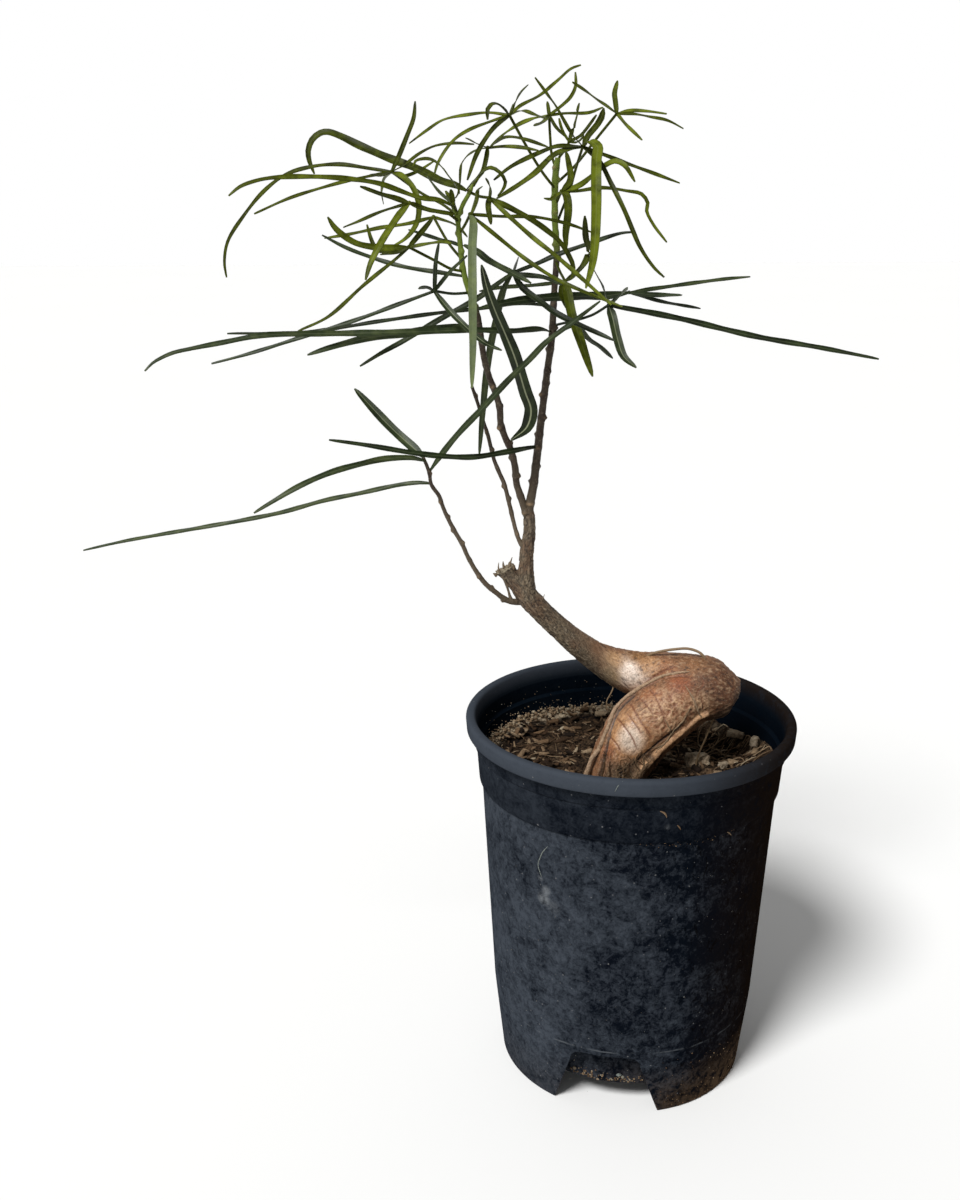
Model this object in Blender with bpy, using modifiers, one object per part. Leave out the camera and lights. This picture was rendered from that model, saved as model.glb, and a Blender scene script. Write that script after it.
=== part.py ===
"""Potted bottle tree: a caudex plant with a folded swollen base, three thin stems and fans of narrow
leaves, standing in the bark mix of a round nursery pot. Metres, +Z up, the front of the pot towards -Y."""

import math

import bmesh
import bpy
from mathutils import Vector, noise

MM = 0.001
GAP = 0.0003  # air between neighbouring pieces
PART_NAME = "potted_bottle_tree"

# Pot: a turned wall with a rolled lip, and three arched recesses between its feet
RIM_RADIUS = 0.085
POT_HEIGHT = 0.1965
LIP_HEIGHT = 0.0085
LIP_WIDTH = 0.005
LIP_ROUND = 0.002
NECK_RADIUS = 0.0805
NECK_BOTTOM = 0.180
BAND_TOP_RADIUS = 0.0795
BAND_RADIUS = 0.0780
BAND_BOTTOM = 0.161
WALL_TOP_RADIUS = 0.0766
WALL_TURN_RADIUS = 0.0697
WALL_TURN = 0.040
FOOT_RADIUS = 0.0651
WALL = 0.002
FOOT_WALL = 0.003
FLOOR_UNDERSIDE = 0.013
FLOOR = 0.0025
POT_SIDES = 48
RECESS_COUNT = 3
RECESS_FIRST = math.radians(-102.8)
RECESS_TOP = 0.036
RECESS_TOP_HALF = 0.018
RECESS_FOOT_HALF = 0.0285
RECESS_ROUND = 0.006
RECESS_BACK_RADIUS = 0.058
DRAIN_COUNT = 6
DRAIN_RADIUS = 0.004
DRAIN_RING = 0.036

# Soil: fills the pot to about 30 mm below the rim, and stands higher along the wall, most of all on the right
SOIL_TOP = 0.166
SOIL_EDGE_RISE = 0.004
SOIL_RIGHT_RISE = 0.006
SOIL_LEFT_RISE = 0.003
SOIL_EDGE_REACH = 0.010
SOIL_BUMP = 0.003
SOIL_BUMP_SIZE = 0.011
SOIL_HOLLOW = Vector((0.052, 0.030, 0.0))
SOIL_HOLLOW_REACH = 0.024
SOIL_HOLLOW_DEPTH = 0.009
SOIL_RINGS = 9
SOIL_EDGE = BAND_RADIUS - WALL - GAP

# Stones and bark chips on the soil: name, centre and length x width x height in millimetres, turn about Z in
# degrees
CHIPS = (
    ("bark_block", (37, 1, 168), (14, 10, 10), 12),
    ("pale_stone", (50, -2, 167), (6, 4, 4), 30),
    ("bark_flake", (63, 33, 169.5), (10, 6, 4), -35),
    ("wall_chip", (69, 13, 174), (6, 5, 6), 60),
)

# Wood, as (x, y, z, radius) in whole or half millimetres along each centre line
FRONT_LIMB = ((-19, -12, 134, 7), (-17, -13, 148, 12), (-11, -13, 166, 14.5), (-3, -12, 181, 15.5),
              (6, -10, 192, 16), (14, -7, 198, 16), (24, -3, 204, 15.5), (34, 1, 208, 14.5))
REAR_LIMB = ((55, 0, 205, 4), (53, 0, 206, 9), (48, 0, 207, 13.5), (42, 1, 208, 16.5), (35, 3, 209, 17),
             (27, 6, 210.5, 15.5), (18, 9, 211.5, 14), (5, 12, 213, 12), (-6, 14, 216.5, 10),
             (-16, 13, 222, 7.9), (-28, 11, 231.5, 6.5), (-41, 9, 244, 5.6), (-53, 7, 257, 5.6),
             (-60, 7, 265, 5), (-67, 8, 273, 5.2))
TRUNK_TOP = ((-50, 7, 255, 3.8), (-53.5, 7, 262, 4.6), (-54, 6.5, 269, 4.2), (-54, 6, 276, 3.7),
             (-53.5, 5.5, 284, 3.6), (-52.5, 5, 292, 3.2), (-52.5, 4.5, 299, 2.9), (-53.5, 4, 305, 2.5))
RIGHT_STEM = ((-53, 4, 302, 2.4), (-52, 4, 308.5, 2.2), (-50.5, 4.5, 316.5, 2.1), (-49.5, 5.5, 325.5, 2),
              (-48.5, 6.5, 334, 2), (-47.5, 7.5, 343, 1.9), (-46.5, 8.5, 351.5, 1.8), (-44, 11, 371.5, 1.7),
              (-42, 12, 387, 1.7), (-41, 13, 409, 1.5), (-40, 13, 429, 1.5), (-41, 14, 441, 1.5),
              (-41, 14, 462, 1.6), (-40, 14, 470, 1.3))
MIDDLE_STEM = ((-53.5, 4, 300, 2), (-57, 3.5, 310.5, 1.8), (-59, 3, 317, 1.7), (-60, 1, 326.5, 1.7),
               (-62, -0.5, 334.5, 1.6), (-65, -1.5, 341.5, 1.6), (-67, -3, 348, 1.6),
               (-67.5, -4.5, 355.5, 1.6), (-69.5, -6, 363, 1.5), (-72.5, -7.5, 371, 1.5),
               (-75, -9, 380.5, 1.5), (-78, -12, 400, 1.4), (-84, -14, 419, 1.3), (-86, -15, 436, 1.2),
               (-87, -15, 444, 1.1), (-90, -16, 453, 1.2))
MIDDLE_TWIG = ((-87, -15, 443, 1), (-84, -17, 450, 1), (-81, -18, 455, 0.9), (-80, -17, 458, 0.8))
THIN_STEM = ((-53.5, 4, 282, 1.4), (-57, 5, 286.5, 1.2), (-59, 6, 291.5, 1.1), (-62, 9, 303.5, 1.1),
             (-65, 12, 315, 1.1), (-67.5, 14, 320.5, 1.1), (-70, 16, 326.5, 1), (-71.5, 18, 332, 1),
             (-73, 20, 338, 1), (-75.5, 22, 345.5, 0.9), (-79, 24, 356.5, 0.9), (-81, 25, 362, 0.8))
LOW_BRANCH = ((-52, 7, 255, 2), (-59.5, 7, 254.5, 1.7), (-64, 6, 256, 1.5), (-69.5, 3, 261, 1.3),
              (-74, 1, 265.5, 1.3), (-78.5, -1, 272, 1.2), (-83.5, -4, 282, 1.1), (-86, -6, 288.5, 1.1),
              (-89.5, -8, 295.5, 1.1), (-92.5, -10, 302, 1), (-95, -12, 308.5, 1), (-97, -14, 315, 1),
              (-100.5, -16, 321, 0.9), (-101.5, -17, 327.5, 0.9), (-104, -18, 334.5, 0.8))
CUT_TWIG = ((-59, 6, 262, 1), (-62, 4, 265, 0.8), (-64, 3, 271, 0.7))
ARCH_ROOT = ((7, 11, 222, 0.9), (13, 7, 226.5, 0.7), (22, 5, 229, 0.7), (30, 3, 230, 0.7),
             (36, 1, 228, 0.7), (39, 1, 223, 0.9))
HANGING_ROOT = ((-7, 12, 210, 0.9), (-8, 10, 205, 0.7), (-11, 9, 199, 0.6), (-11, 9, 194, 0.6))
PROP_ROOT = ((47, 0, 196, 1), (45, -3, 190, 0.8), (41, -4, 179, 0.7), (38, -5, 168, 0.6))
KEEL_HEIGHT = 0.07
KEEL_WIDTH = math.radians(14)
KEEL_ANGLES = (math.radians(100), math.radians(-64))
BUD_SPACING = 0.009
BUD_SWELL = 0.3
WOOD_STEP = 0.0065
STEM_STEP = 0.0045

# Leaves: the stalk's points out of the stem, then each leaflet as its width and its points after the stalk's
# end, in whole or half millimetres. A leaf with one stalk point is a single blade.
LEAVES = {
    "leaf_low_up": ([(-103.5, -18, 334.5)], [
        (4.6, (-119.5, -8, 347), (-137.5, 2, 364.5))]),
    "leaf_low_front": ([(-103, -18, 333)], [
        (3, (-110, -26, 336), (-121.5, -31, 336.5), (-133, -36, 335), (-146, -43, 332.5),
         (-159, -50, 328), (-172.5, -55, 321), (-179, -58, 317.5))]),
    "leaf_low_long": ([(-100.5, -16, 321.5)], [
        (2.3, (-105.5, -14, 321.5), (-114, -12.5, 320.5), (-136, -8, 315), (-154, -4, 310.5),
         (-174.5, 0, 304), (-195, 4, 299), (-215.5, 6, 295), (-258.5, 13, 286), (-280.5, 16, 280.5))]),
    "leaf_low_cross": ([(-101, -17, 328)], [
        (3, (-97, -20, 334), (-88, -24, 346), (-77, -27, 358), (-63.5, -30, 373), (-54, -31.5, 382.5),
         (-47, -33, 390), (-36, -35, 398.5), (-23.5, -38, 408.5))]),
    "leaf_right_low": ([(-48, 6.5, 335)], [
        (2.9, (-53.5, 0, 335.5), (-64, -10, 335.5), (-80.5, -20, 335), (-95, -30, 337.5),
         (-107.5, -35, 340), (-130.5, -40, 345), (-145.5, -44, 348))]),
    "leaf_right_sweep": ([(-42.5, 11, 390)], [
        (3.2, (-47, 5, 392), (-61.5, -8, 392.5), (-82, -22, 394.5), (-100.5, -28, 394.5),
         (-119.5, -32, 394.5), (-139.5, -35, 394.5), (-158.5, -41, 395), (-173.5, -47, 395),
         (-190, -52, 392.5), (-202.5, -56, 390.5), (-210, -58, 389), (-215, -60, 387),
         (-218.5, -62, 385), (-221.5, -64, 382))]),
    "leaf_middle_droop": ([(-76.5, -11, 394)], [
        (4, (-86, -12, 394.5), (-100, -14, 394), (-113, -16, 392), (-127, -19, 391),
         (-139.5, -22, 388.5), (-147.5, -24, 386.5), (-156, -26, 384))]),
    "leaf_right_back": ([(-42.5, 13, 402)], [
        (2, (-50, 14, 403), (-61, 12, 403.5), (-71.5, 10, 402), (-94.5, 6, 400), (-123.5, 2, 396.5),
         (-158.5, -2, 392), (-195.5, -8, 392))]),
    "leaf_right_mid": ([(-40.5, 13, 413)], [
        (2, (-53.5, 10, 412), (-66, 7, 411.5), (-77, 4, 410))]),
    "fan_east": ([(-40.5, 13, 405.5), (-23.5, 16, 407.5), (-4.5, 18, 408)], [
        (4.8, (-17, 10, 407), (-29.5, 2, 407.5), (-45.5, -6, 407.5), (-61.5, -14, 406.5),
         (-77.5, -20, 404)),
        (2.1, (6, 24, 409), (43.5, 40, 412.5), (59.5, 46, 413.5)),
        (2.8, (7, 8, 407.5), (17.5, -6, 408.5)),
        (2, (6.5, 26, 404.5), (16, 32, 402), (35, 45, 398))]),
    "fan_reach": ([(-41, 12, 393), (-35, 11, 394.5), (-31, 10, 395.5), (-23, 6, 398.5), (-16, 0, 403.5)], [
        (4.2, (-14.5, -5, 398.5), (-12.5, -11, 389), (-10, -18, 381.5), (-4.5, -22, 377)),
        (3.2, (-0.5, 3, 400.5), (19, 6, 396.5), (56.5, 10, 387.5), (89.5, 14, 381.5), (119.5, 18, 375.5)),
        (2.4, (-10.5, -8, 409.5), (-9.5, -18, 413)),
        (2.2, (-19.5, -10, 412), (-25, -22, 421))]),
    "fan_under": ([(-40.5, 12, 389.5), (-35.5, 6, 392), (-31, 3, 394.5)], [
        (3.2, (-24, 10, 386.5), (-18.5, 15, 382.5), (-11, 22, 376))]),
    "fan_drop": ([(-40.5, 13, 423), (-39, 6, 419), (-37, -4, 415)], [
        (4.4, (-36, -9, 409.5), (-34, -15, 399.5), (-30, -20, 388), (-25, -26, 373.5)),
        (3.4, (-33, -8, 418), (-29.5, -13, 422.5), (-27, -17, 428.5), (-29, -21, 435), (-30, -26, 444.5)),
        (3.4, (-38.5, -8, 410.5), (-36.5, -9, 405), (-33.5, -6, 400))]),
    "fan_heart": ([(-40.5, 13, 426.5), (-50.5, 4, 422.5), (-61.5, -6, 419)], [
        (2.8, (-69, -4, 413.5), (-77.5, -4, 407.5), (-95.5, -7, 398), (-113.5, -11, 388),
         (-123.5, -14, 383), (-133, -16, 377.5)),
        (3.3, (-65.5, -3, 411.5), (-69, 2, 397), (-72.5, 6, 379.5), (-74.5, 9, 363.5), (-77.5, 14, 329.5)),
        (3, (-57, -12, 412.5), (-50, -18, 407.5), (-42, -24, 402), (-33.5, -28, 398), (-16.5, -36, 391)),
        (2.6, (-55, -18, 418.5), (-48.5, -22, 418), (-40.5, -34, 415.5)),
        (2.4, (-51, -10, 423), (-42, -12, 427), (-26.5, -16, 432.5), (-13, -21, 437), (-7.5, -22, 437.5)),
        (1.4, (-59.5, -20, 426.5))]),
    "leaf_middle_dark": ([(-84, -15, 432)], [
        (3.2, (-77.5, -22, 429), (-73.5, -27, 426), (-64, -37, 421.5), (-54.5, -46, 417))]),
    "leaf_middle_broad": ([(-62, -1, 339.5)], [
        (6.4, (-54.5, -5, 346.5), (-52.5, -6, 354.5), (-55.5, -9, 364), (-61, -17, 382),
         (-65.5, -20, 393), (-70, -25, 403.5), (-73.5, -29, 413.5), (-76, -33, 424))]),
    "fan_low_west": ([(-81.5, -13, 410.5), (-89.5, -18, 410.5), (-97.5, -22, 412)], [
        (2, (-112, -24, 407), (-133.5, -26, 399.5), (-160.5, -28.5, 391.5), (-181, -31, 385.5),
         (-199, -32, 381)),
        (1.8, (-97, -25, 418), (-96.5, -28, 425.5), (-95, -30, 433.5)),
        (1.8, (-93, -24, 417.5), (-89.5, -27, 421.5), (-82.5, -30, 428)),
        (2.8, (-101, -28, 414), (-104, -34, 414)),
        (2.8, (-90, -30, 403.5), (-82, -38, 396.5), (-74, -47, 391), (-67.5, -54, 389))]),
    "leaf_middle_west": ([(-84, -14, 418)], [
        (2.2, (-92, -10, 419), (-113, -4, 422), (-128, 2, 426), (-140, 3, 430.5), (-150.5, 4, 436))]),
    "leaf_middle_back": ([(-85.5, -14, 431.5)], [
        (1.8, (-90, -8, 433), (-95.5, -2, 434), (-103, 6, 436), (-110.5, 14, 438))]),
    "fan_west": ([(-83.5, -14, 420), (-90, -17, 421.5), (-96.5, -20, 425), (-108.5, -26, 431.5)], [
        (3.6, (-121, -33, 431.5), (-131.5, -39, 434), (-139, -44, 440), (-142, -46, 445)),
        (1.6, (-112.5, -38, 430), (-119.5, -50, 429.5)),
        (2, (-101.5, -36, 433), (-93, -46, 434.5), (-89, -50, 434)),
        (2.4, (-105, -22, 435.5), (-101.5, -18, 439.5), (-98, -12, 444)),
        (1.8, (-115, -22, 426), (-130.5, -18, 414), (-146.5, -16, 400.5), (-161.5, -14, 393.5)),
        (2, (-116.5, -22, 429.5), (-123.5, -17, 430), (-126, -14, 434), (-128, -12, 441))]),
    "fan_back_west": ([(-84.5, -15, 425), (-91, -10, 432.5), (-98, -4, 444)], [
        (2, (-110, 2, 441), (-123.5, 8, 439), (-141, 18, 435.5), (-151.5, 22, 434)),
        (1.8, (-89.5, 4, 441), (-86, 9, 438.5), (-82.5, 14, 434.5))]),
    "fan_crown": ([(-85.5, -15, 437.5), (-83, -22, 441.5), (-81, -26, 445.5)], [
        (3.4, (-79, -32, 450.5), (-77.5, -38, 455), (-75.5, -44, 457)),
        (1.7, (-67.5, -22, 444.5), (-51.5, -16, 444), (-37, -13, 441), (-25, -10, 437)),
        (1.8, (-67, -30, 434.5), (-55, -36, 425.5), (-41.5, -42, 417.5), (-15.5, -56, 407.5)),
        (5.3, (-79.5, -34, 442), (-80, -44, 433), (-80, -52, 419), (-80, -58, 390), (-80.5, -60, 373.5))]),
    "fan_northwest": ([(-86, -15, 442), (-91.5, -20, 446), (-99, -26, 447), (-107.5, -34, 450.5)], [
        (2.8, (-113.5, -37, 452.5), (-118.5, -42, 454), (-127.5, -48, 457.5)),
        (3, (-111.5, -38, 446), (-115, -44, 441), (-119, -52, 434.5), (-123.5, -57, 426),
         (-125.5, -60, 419.5)),
        (1.6, (-120, -26, 447), (-131.5, -20, 442.5), (-138.5, -16, 440)),
        (2.8, (-101, -29, 448), (-94.5, -24, 446.5), (-88, -19, 445.5))]),
    "leaf_north_hook": ([(-82.5, -17, 455.5)], [
        (4.4, (-87, -12, 457.5), (-95, -3, 460), (-106.5, 12, 465.5), (-119, 20, 470), (-133.5, 28, 476),
         (-143, 32, 480.5), (-149, 33, 482.5), (-153, 34, 482), (-157, 34, 479), (-159, 33, 474),
         (-158.5, 32, 469.5), (-156, 30, 463.5))]),
    "leaf_north_long": ([(-87.5, -16, 448.5)], [
        (2.6, (-94.5, -19, 451.5), (-103, -24, 452.5), (-111.5, -29, 455.5), (-120, -33, 458.5),
         (-128, -36, 460), (-146.5, -44, 461.5), (-165.5, -51, 461), (-172.5, -54, 459.5),
         (-177.5, -56, 457.5), (-182, -58, 454))]),
    "leaf_north_arch": ([(-87.5, -16, 452.5)], [
        (1.9, (-86, -21, 455), (-87, -27, 458), (-90, -36, 461.5), (-93.5, -44, 466), (-96.5, -48, 468),
         (-99.5, -52, 468.5), (-103.5, -56, 467.5), (-104.5, -58, 465.5))]),
    "leaf_north_curl": ([(-83, -18, 455.5)], [
        (1.8, (-79.5, -26, 459.5), (-76, -32, 463), (-72, -37, 465), (-68, -40, 463), (-65.5, -40, 459),
         (-67, -39, 455.5), (-69, -37, 453.5))]),
    "shoot_west": ([(-87, -14, 445.5), (-88.5, -20, 450)], [
        (2.4, (-89.5, -23, 456)),
        (1.4, (-94.5, -24, 455), (-99.5, -30, 461.5)),
        (1.6, (-92, -18, 455.5))]),
    "fan_far_west": ([(-86.5, -15, 444.5), (-93.5, -10, 449.5), (-103.5, -2, 454.5), (-117.5, 6, 464)], [
        (2.1, (-127.5, 9, 465.5), (-142.5, 14, 467.5), (-156.5, 19, 466.5), (-169, 22, 463),
         (-180, 24, 455.5), (-191, 27, 444), (-199.5, 28, 432), (-201.5, 28, 423), (-200.5, 26, 415.5)),
        (2.1, (-121.5, -4, 462.5), (-126, -14, 462.5)),
        (1.6, (-133, 0, 461), (-145.5, -4, 458), (-163.5, -10, 452.5), (-178.5, -16, 446)),
        (2.7, (-122, 20, 460.5), (-124, 28, 455.5), (-123.5, 36, 449.5)),
        (2.6, (-112, -2, 462), (-107, -7, 457), (-104.5, -10, 450.5), (-105, -9, 443), (-108, -7, 437.5),
         (-112.5, -4, 433.5), (-117.5, -2, 431)),
        (2.2, (-114, 12, 471.5), (-110.5, 19, 480.5), (-107.5, 26, 489), (-107, 30, 496)),
        (1.4, (-111, -1, 467), (-103.5, -5, 472), (-96.5, -7, 475), (-87.5, -8, 476), (-79, -8, 475.5)),
        (1.6, (-113.5, 14, 462), (-109, 18, 463), (-104, 22, 465.5), (-98.5, 26, 469))]),
    "fan_front": ([(-80.5, -18, 454.5), (-76.5, -26, 453), (-72.5, -32, 452.5)], [
        (2, (-72, -38, 456), (-72.5, -41, 458), (-74, -44, 460.5)),
        (2.4, (-73, -44, 448.5), (-72, -54, 442)),
        (2.8, (-63, -32, 448), (-54.5, -33, 443.5), (-47, -30, 438.5), (-41, -27, 433.5),
         (-36.5, -25, 427), (-34.5, -24, 422), (-35.5, -24, 417)),
        (2, (-62.5, -38, 443.5), (-52.5, -43, 435), (-44.5, -47, 429), (-28.5, -54, 415.5),
         (-20.5, -58, 408.5))]),
    "fan_top_west": ([(-79.5, -17, 457.5), (-77, -13, 461.5), (-74.5, -8, 466.5), (-73, -4, 474)], [
        (1.5, (-77.5, 4, 473.5), (-83, 14, 470.5), (-85.5, 19, 466.5), (-86, 22, 458.5)),
        (1.8, (-65.5, -8, 474.5), (-58.5, -11, 474), (-50.5, -16, 472.5)),
        (1.8, (-69.5, -10, 476), (-65.5, -16, 478), (-59, -24, 477.5), (-47.5, -36, 473.5)),
        (1.4, (-77.5, -14, 475.5), (-82.5, -26, 477.5)),
        (2, (-73.5, -8, 470), (-75.5, -10, 463.5), (-78.5, -9, 460), (-81.5, -8, 456))]),
    "fan_top": ([(-40.5, 14, 455.5), (-47.5, 8, 463.5), (-55.5, 4, 475.5), (-63, 0, 488)], [
        (2.6, (-61, -8, 492.5), (-58.5, -14, 496.5), (-55.5, -20, 499.5)),
        (1.5, (-58.5, 4, 492), (-48.5, 13, 497.5), (-40, 23, 504.5), (-33.5, 30, 510), (-28.5, 34, 512)),
        (2.2, (-65.5, -4, 490.5), (-69, -9, 492.5), (-71.5, -12, 492), (-73, -14, 490), (-73, -16, 485.5)),
        (1.6, (-72, 5, 489.5), (-81, 10, 489), (-93.5, 16, 487), (-101.5, 20, 482.5), (-110, 24, 477)),
        (1.5, (-72, -8, 485), (-81, -14, 481.5), (-88, -20, 477), (-92.5, -24, 471.5), (-95.5, -26, 466),
         (-96.5, -28, 462.5)),
        (2.1, (-69.5, -12, 483), (-74, -20, 477.5), (-78.5, -30, 469.5), (-82, -40, 460)),
        (1.7, (-57.5, -20, 489), (-52.5, -32, 486.5), (-48.5, -46, 484.5))]),
    "fan_top_back": ([(-40, 14, 463.5), (-42.5, 18, 470.5), (-43.5, 20, 480.5), (-44, 20, 489)], [
        (1.6, (-44.5, 28, 495.5)),
        (2.4, (-51, 32, 488), (-56, 36, 486.5), (-61, 40, 484), (-65.5, 45, 481), (-71.5, 50, 476)),
        (2, (-40.5, 25, 484), (-34.5, 30, 479)),
        (1.8, (-47.5, 8, 485.5), (-52, -4, 483.5)),
        (1.6, (-36.5, 24, 490), (-24.5, 28, 490.5), (-18, 30, 493)),
        (1.6, (-38.5, 24, 493), (-33.5, 28, 497.5), (-31, 32, 502.5), (-31, 36, 509))]),
    "shoot_tip": ([(-39.5, 14, 470), (-36.5, 12, 474), (-35, 10, 477)], [
        (2, (-33.5, 6, 483.5), (-32.5, 1, 488.5), (-31.5, -2, 493)),
        (1.5, (-30, 12, 479.5), (-25.5, 15, 484.5), (-22, 18, 489)),
        (1.4, (-37.5, 10, 480.5), (-39, 9, 483.5), (-40, 8, 487)),
        (1.4, (-32, 6, 476.5), (-29, 4, 479), (-29, 2, 481.5))]),
    "fan_northeast": ([(-40.5, 14, 439.5), (-37.5, 18, 446.5), (-33.5, 22, 456), (-32, 14, 463.5),
        (-29.5, 0, 474.5)], [
        (1.6, (-35.5, -10, 480), (-43, -17, 491), (-47, -22, 495.5), (-52.5, -26, 502)),
        (3.6, (-27, -4, 479.5), (-24, -6, 483), (-22, -8, 486.5), (-21, -8, 490.5)),
        (5.6, (-27, -8, 476.5), (-24, -14, 474), (-25, -22, 468.5), (-25.5, -28, 460),
         (-25.5, -32, 447.5), (-26, -35, 435), (-27, -36, 424.5), (-30, -38, 414)),
        (2.1, (-20, 0, 471), (-8, 6, 467), (4, 10, 463), (17.5, 14, 458.5)),
        (2.1, (-22.5, -12, 467.5), (-18, -18, 458.5), (-12.5, -26, 447), (-5.5, -32, 431), (1, -35, 422),
         (5, -36, 418.5)),
        (2.2, (-36, -10, 474.5), (-43, -17, 474), (-50, -23, 471.5), (-63, -29, 465.5), (-70.5, -34, 460)),
        (2.6, (-37, -12, 473), (-44.5, -24, 470), (-53, -37, 462.5), (-61.5, -47, 457),
         (-69.5, -56, 452.5))]),
    "fan_east_top": ([(-40.5, 14, 458.5), (-31.5, 20, 466.5), (-21.5, 22, 478.5), (-12.5, 18, 489.5)], [
        (2.4, (-13, 22, 495.5), (-13, 27, 499), (-11, 34, 505)),
        (2.4, (-18, 12, 492.5), (-22.5, 6, 494.5), (-28.5, -1, 498), (-35, -6, 501.5)),
        (1.7, (-8, 14, 490.5), (-0.5, 8, 490), (8.5, 2, 488.5)),
        (1.6, (-4, 22, 489.5), (4, 28, 488.5), (13.5, 33, 487), (21.5, 36, 483.5)),
        (1.6, (-9, 4, 483.5), (-3.5, -8, 477))]),
    "fan_east_mid": ([(-40.5, 14, 449.5), (-38.5, 8, 455)], [
        (2.9, (-31.5, 4, 457), (-27.5, 2, 459.5), (-23, -2, 463.5), (-19, -4, 466.5), (-15, -6, 468),
         (-11, -9, 466), (-6.5, -12, 459)),
        (1.8, (-32, 10, 455), (-19, 12, 456.5), (-7, 14, 455), (0, 16, 453.5), (3, 16, 449.5),
         (2.5, 15, 446), (6, 15, 439.5), (12.5, 14, 431.5)),
        (1.6, (-42, 3, 452.5), (-44, 0, 451.5), (-47, -4, 452)),
        (3.6, (-36.5, -2, 452.5), (-36, -4, 446.5), (-37, -4, 435.5), (-36.5, -4, 429.5)),
        (3, (-34.5, 6, 460), (-35.5, 4, 467), (-37, 2, 472.5))]),
}
BLADE_THICKNESS = 0.0008
BLADE_STEP = 0.0095
BLADE_FACES = Vector((0.0, -0.75, 0.66))  # the upper side of most blades leans to the front
STALK_RADIUS = 0.00065
BASE_WIDTH = 0.0011
TIP_WIDTH = 0.0006
WIDEST = 0.16
TIP_BLUNTNESS = 4
TIP_ROUNDING = 0.65


def clear_scene():
    for obj in list(bpy.data.objects):
        bpy.data.objects.remove(obj)


def new_collection(name):
    collection = bpy.data.collections.new(name)
    bpy.context.scene.collection.children.link(collection)
    return collection


def plain_material(name, colour, roughness, metallic=0.0):
    material = bpy.data.materials.new(name)
    material.use_nodes = True
    shader = material.node_tree.nodes["Principled BSDF"]
    shader.inputs["Base Color"].default_value = (*colour, 1.0)
    shader.inputs["Roughness"].default_value = roughness
    shader.inputs["Metallic"].default_value = metallic
    return material


def add_object(name, bm, collection):
    """Finishes a bmesh into a smooth-shaded object."""
    bmesh.ops.recalc_face_normals(bm, faces=bm.faces)
    mesh = bpy.data.meshes.new(name)
    bm.to_mesh(mesh)
    bm.free()
    mesh.shade_smooth()
    obj = bpy.data.objects.new(name, mesh)
    collection.objects.link(obj)
    return obj


def dress(obj, material):
    obj.data.materials.clear()
    obj.data.materials.append(material)
    obj.data.shade_smooth()
    obj.data.set_sharp_from_angle(angle=math.radians(40))
    return obj


def settle(obj):
    """Makes an object's modifiers part of its mesh."""
    bpy.context.view_layer.update()
    graph = bpy.context.evaluated_depsgraph_get()
    mesh = bpy.data.meshes.new_from_object(obj.evaluated_get(graph))
    obj.modifiers.clear()
    obj.data = mesh
    return obj


def combine(obj, others, operation):
    """One Boolean of a list of objects on the first one, after which the others are removed."""
    helpers = new_collection("helpers_of_" + obj.name)
    for other in others:
        for owner in list(other.users_collection):
            owner.objects.unlink(other)
        helpers.objects.link(other)
    boolean = obj.modifiers.new("combine", "BOOLEAN")
    boolean.operand_type = "COLLECTION"
    boolean.collection = helpers
    boolean.operation = operation
    boolean.solver = "MANIFOLD"
    settle(obj)
    for other in others:
        bpy.data.objects.remove(other)
    bpy.data.collections.remove(helpers)
    return obj


def keep_main_body(obj):
    """Drops the scraps that a cut leaves beside the largest body."""
    bm = bmesh.new()
    bm.from_mesh(obj.data)
    unseen = set(bm.verts)
    bodies = []
    while unseen:
        found = [unseen.pop()]
        for vert in found:
            for edge in vert.link_edges:
                other = edge.other_vert(vert)
                if other in unseen:
                    unseen.remove(other)
                    found.append(other)
        bodies.append(found)
    bodies.sort(key=len)
    scraps = [vert for body in bodies[:-1] for vert in body]
    bmesh.ops.delete(bm, geom=scraps, context="VERTS")
    bm.to_mesh(obj.data)
    bm.free()
    return obj


def copy_of(obj, name, collection):
    copy = bpy.data.objects.new(name, obj.data.copy())
    collection.objects.link(copy)
    return copy


def turned(name, profile, collection, sides=POT_SIDES):
    """A solid of revolution about Z. The profile runs down its outer side from the axis to the axis."""
    bm = bmesh.new()
    verts = [bm.verts.new((radius, 0.0, height)) for radius, height in profile]
    for upper, lower in zip(verts, verts[1:]):
        bm.edges.new((upper, lower))
    mesh = bpy.data.meshes.new(name)
    bm.to_mesh(mesh)
    bm.free()
    obj = bpy.data.objects.new(name, mesh)
    collection.objects.link(obj)
    screw = obj.modifiers.new("turn", "SCREW")
    screw.steps = sides
    screw.render_steps = sides
    screw.use_merge_vertices = True
    screw.merge_threshold = 0.00005
    return settle(obj)


def smooth_route(points, step):
    """Points about a step apart on a centripetal Catmull-Rom curve. Values after x, y and z ride along."""
    before = [2 * a - b for a, b in zip(points[0], points[1])]
    after = [2 * a - b for a, b in zip(points[-1], points[-2])]
    knots = [before] + [list(point) for point in points] + [after]
    route = []
    for index in range(1, len(knots) - 2):
        near = knots[index - 1:index + 3]
        gaps = [(Vector(b[:3]) - Vector(a[:3])).length ** 0.5 for a, b in zip(near, near[1:])]
        times = [0.0, gaps[0], gaps[0] + gaps[1], sum(gaps)]
        span = (Vector(near[2][:3]) - Vector(near[1][:3])).length
        count = max(1, round(span / step))
        for part in range(count):
            moment = times[1] + (times[2] - times[1]) * part / count
            route.append(neville(near, times, moment))
    route.append(list(points[-1]))
    return route


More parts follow.
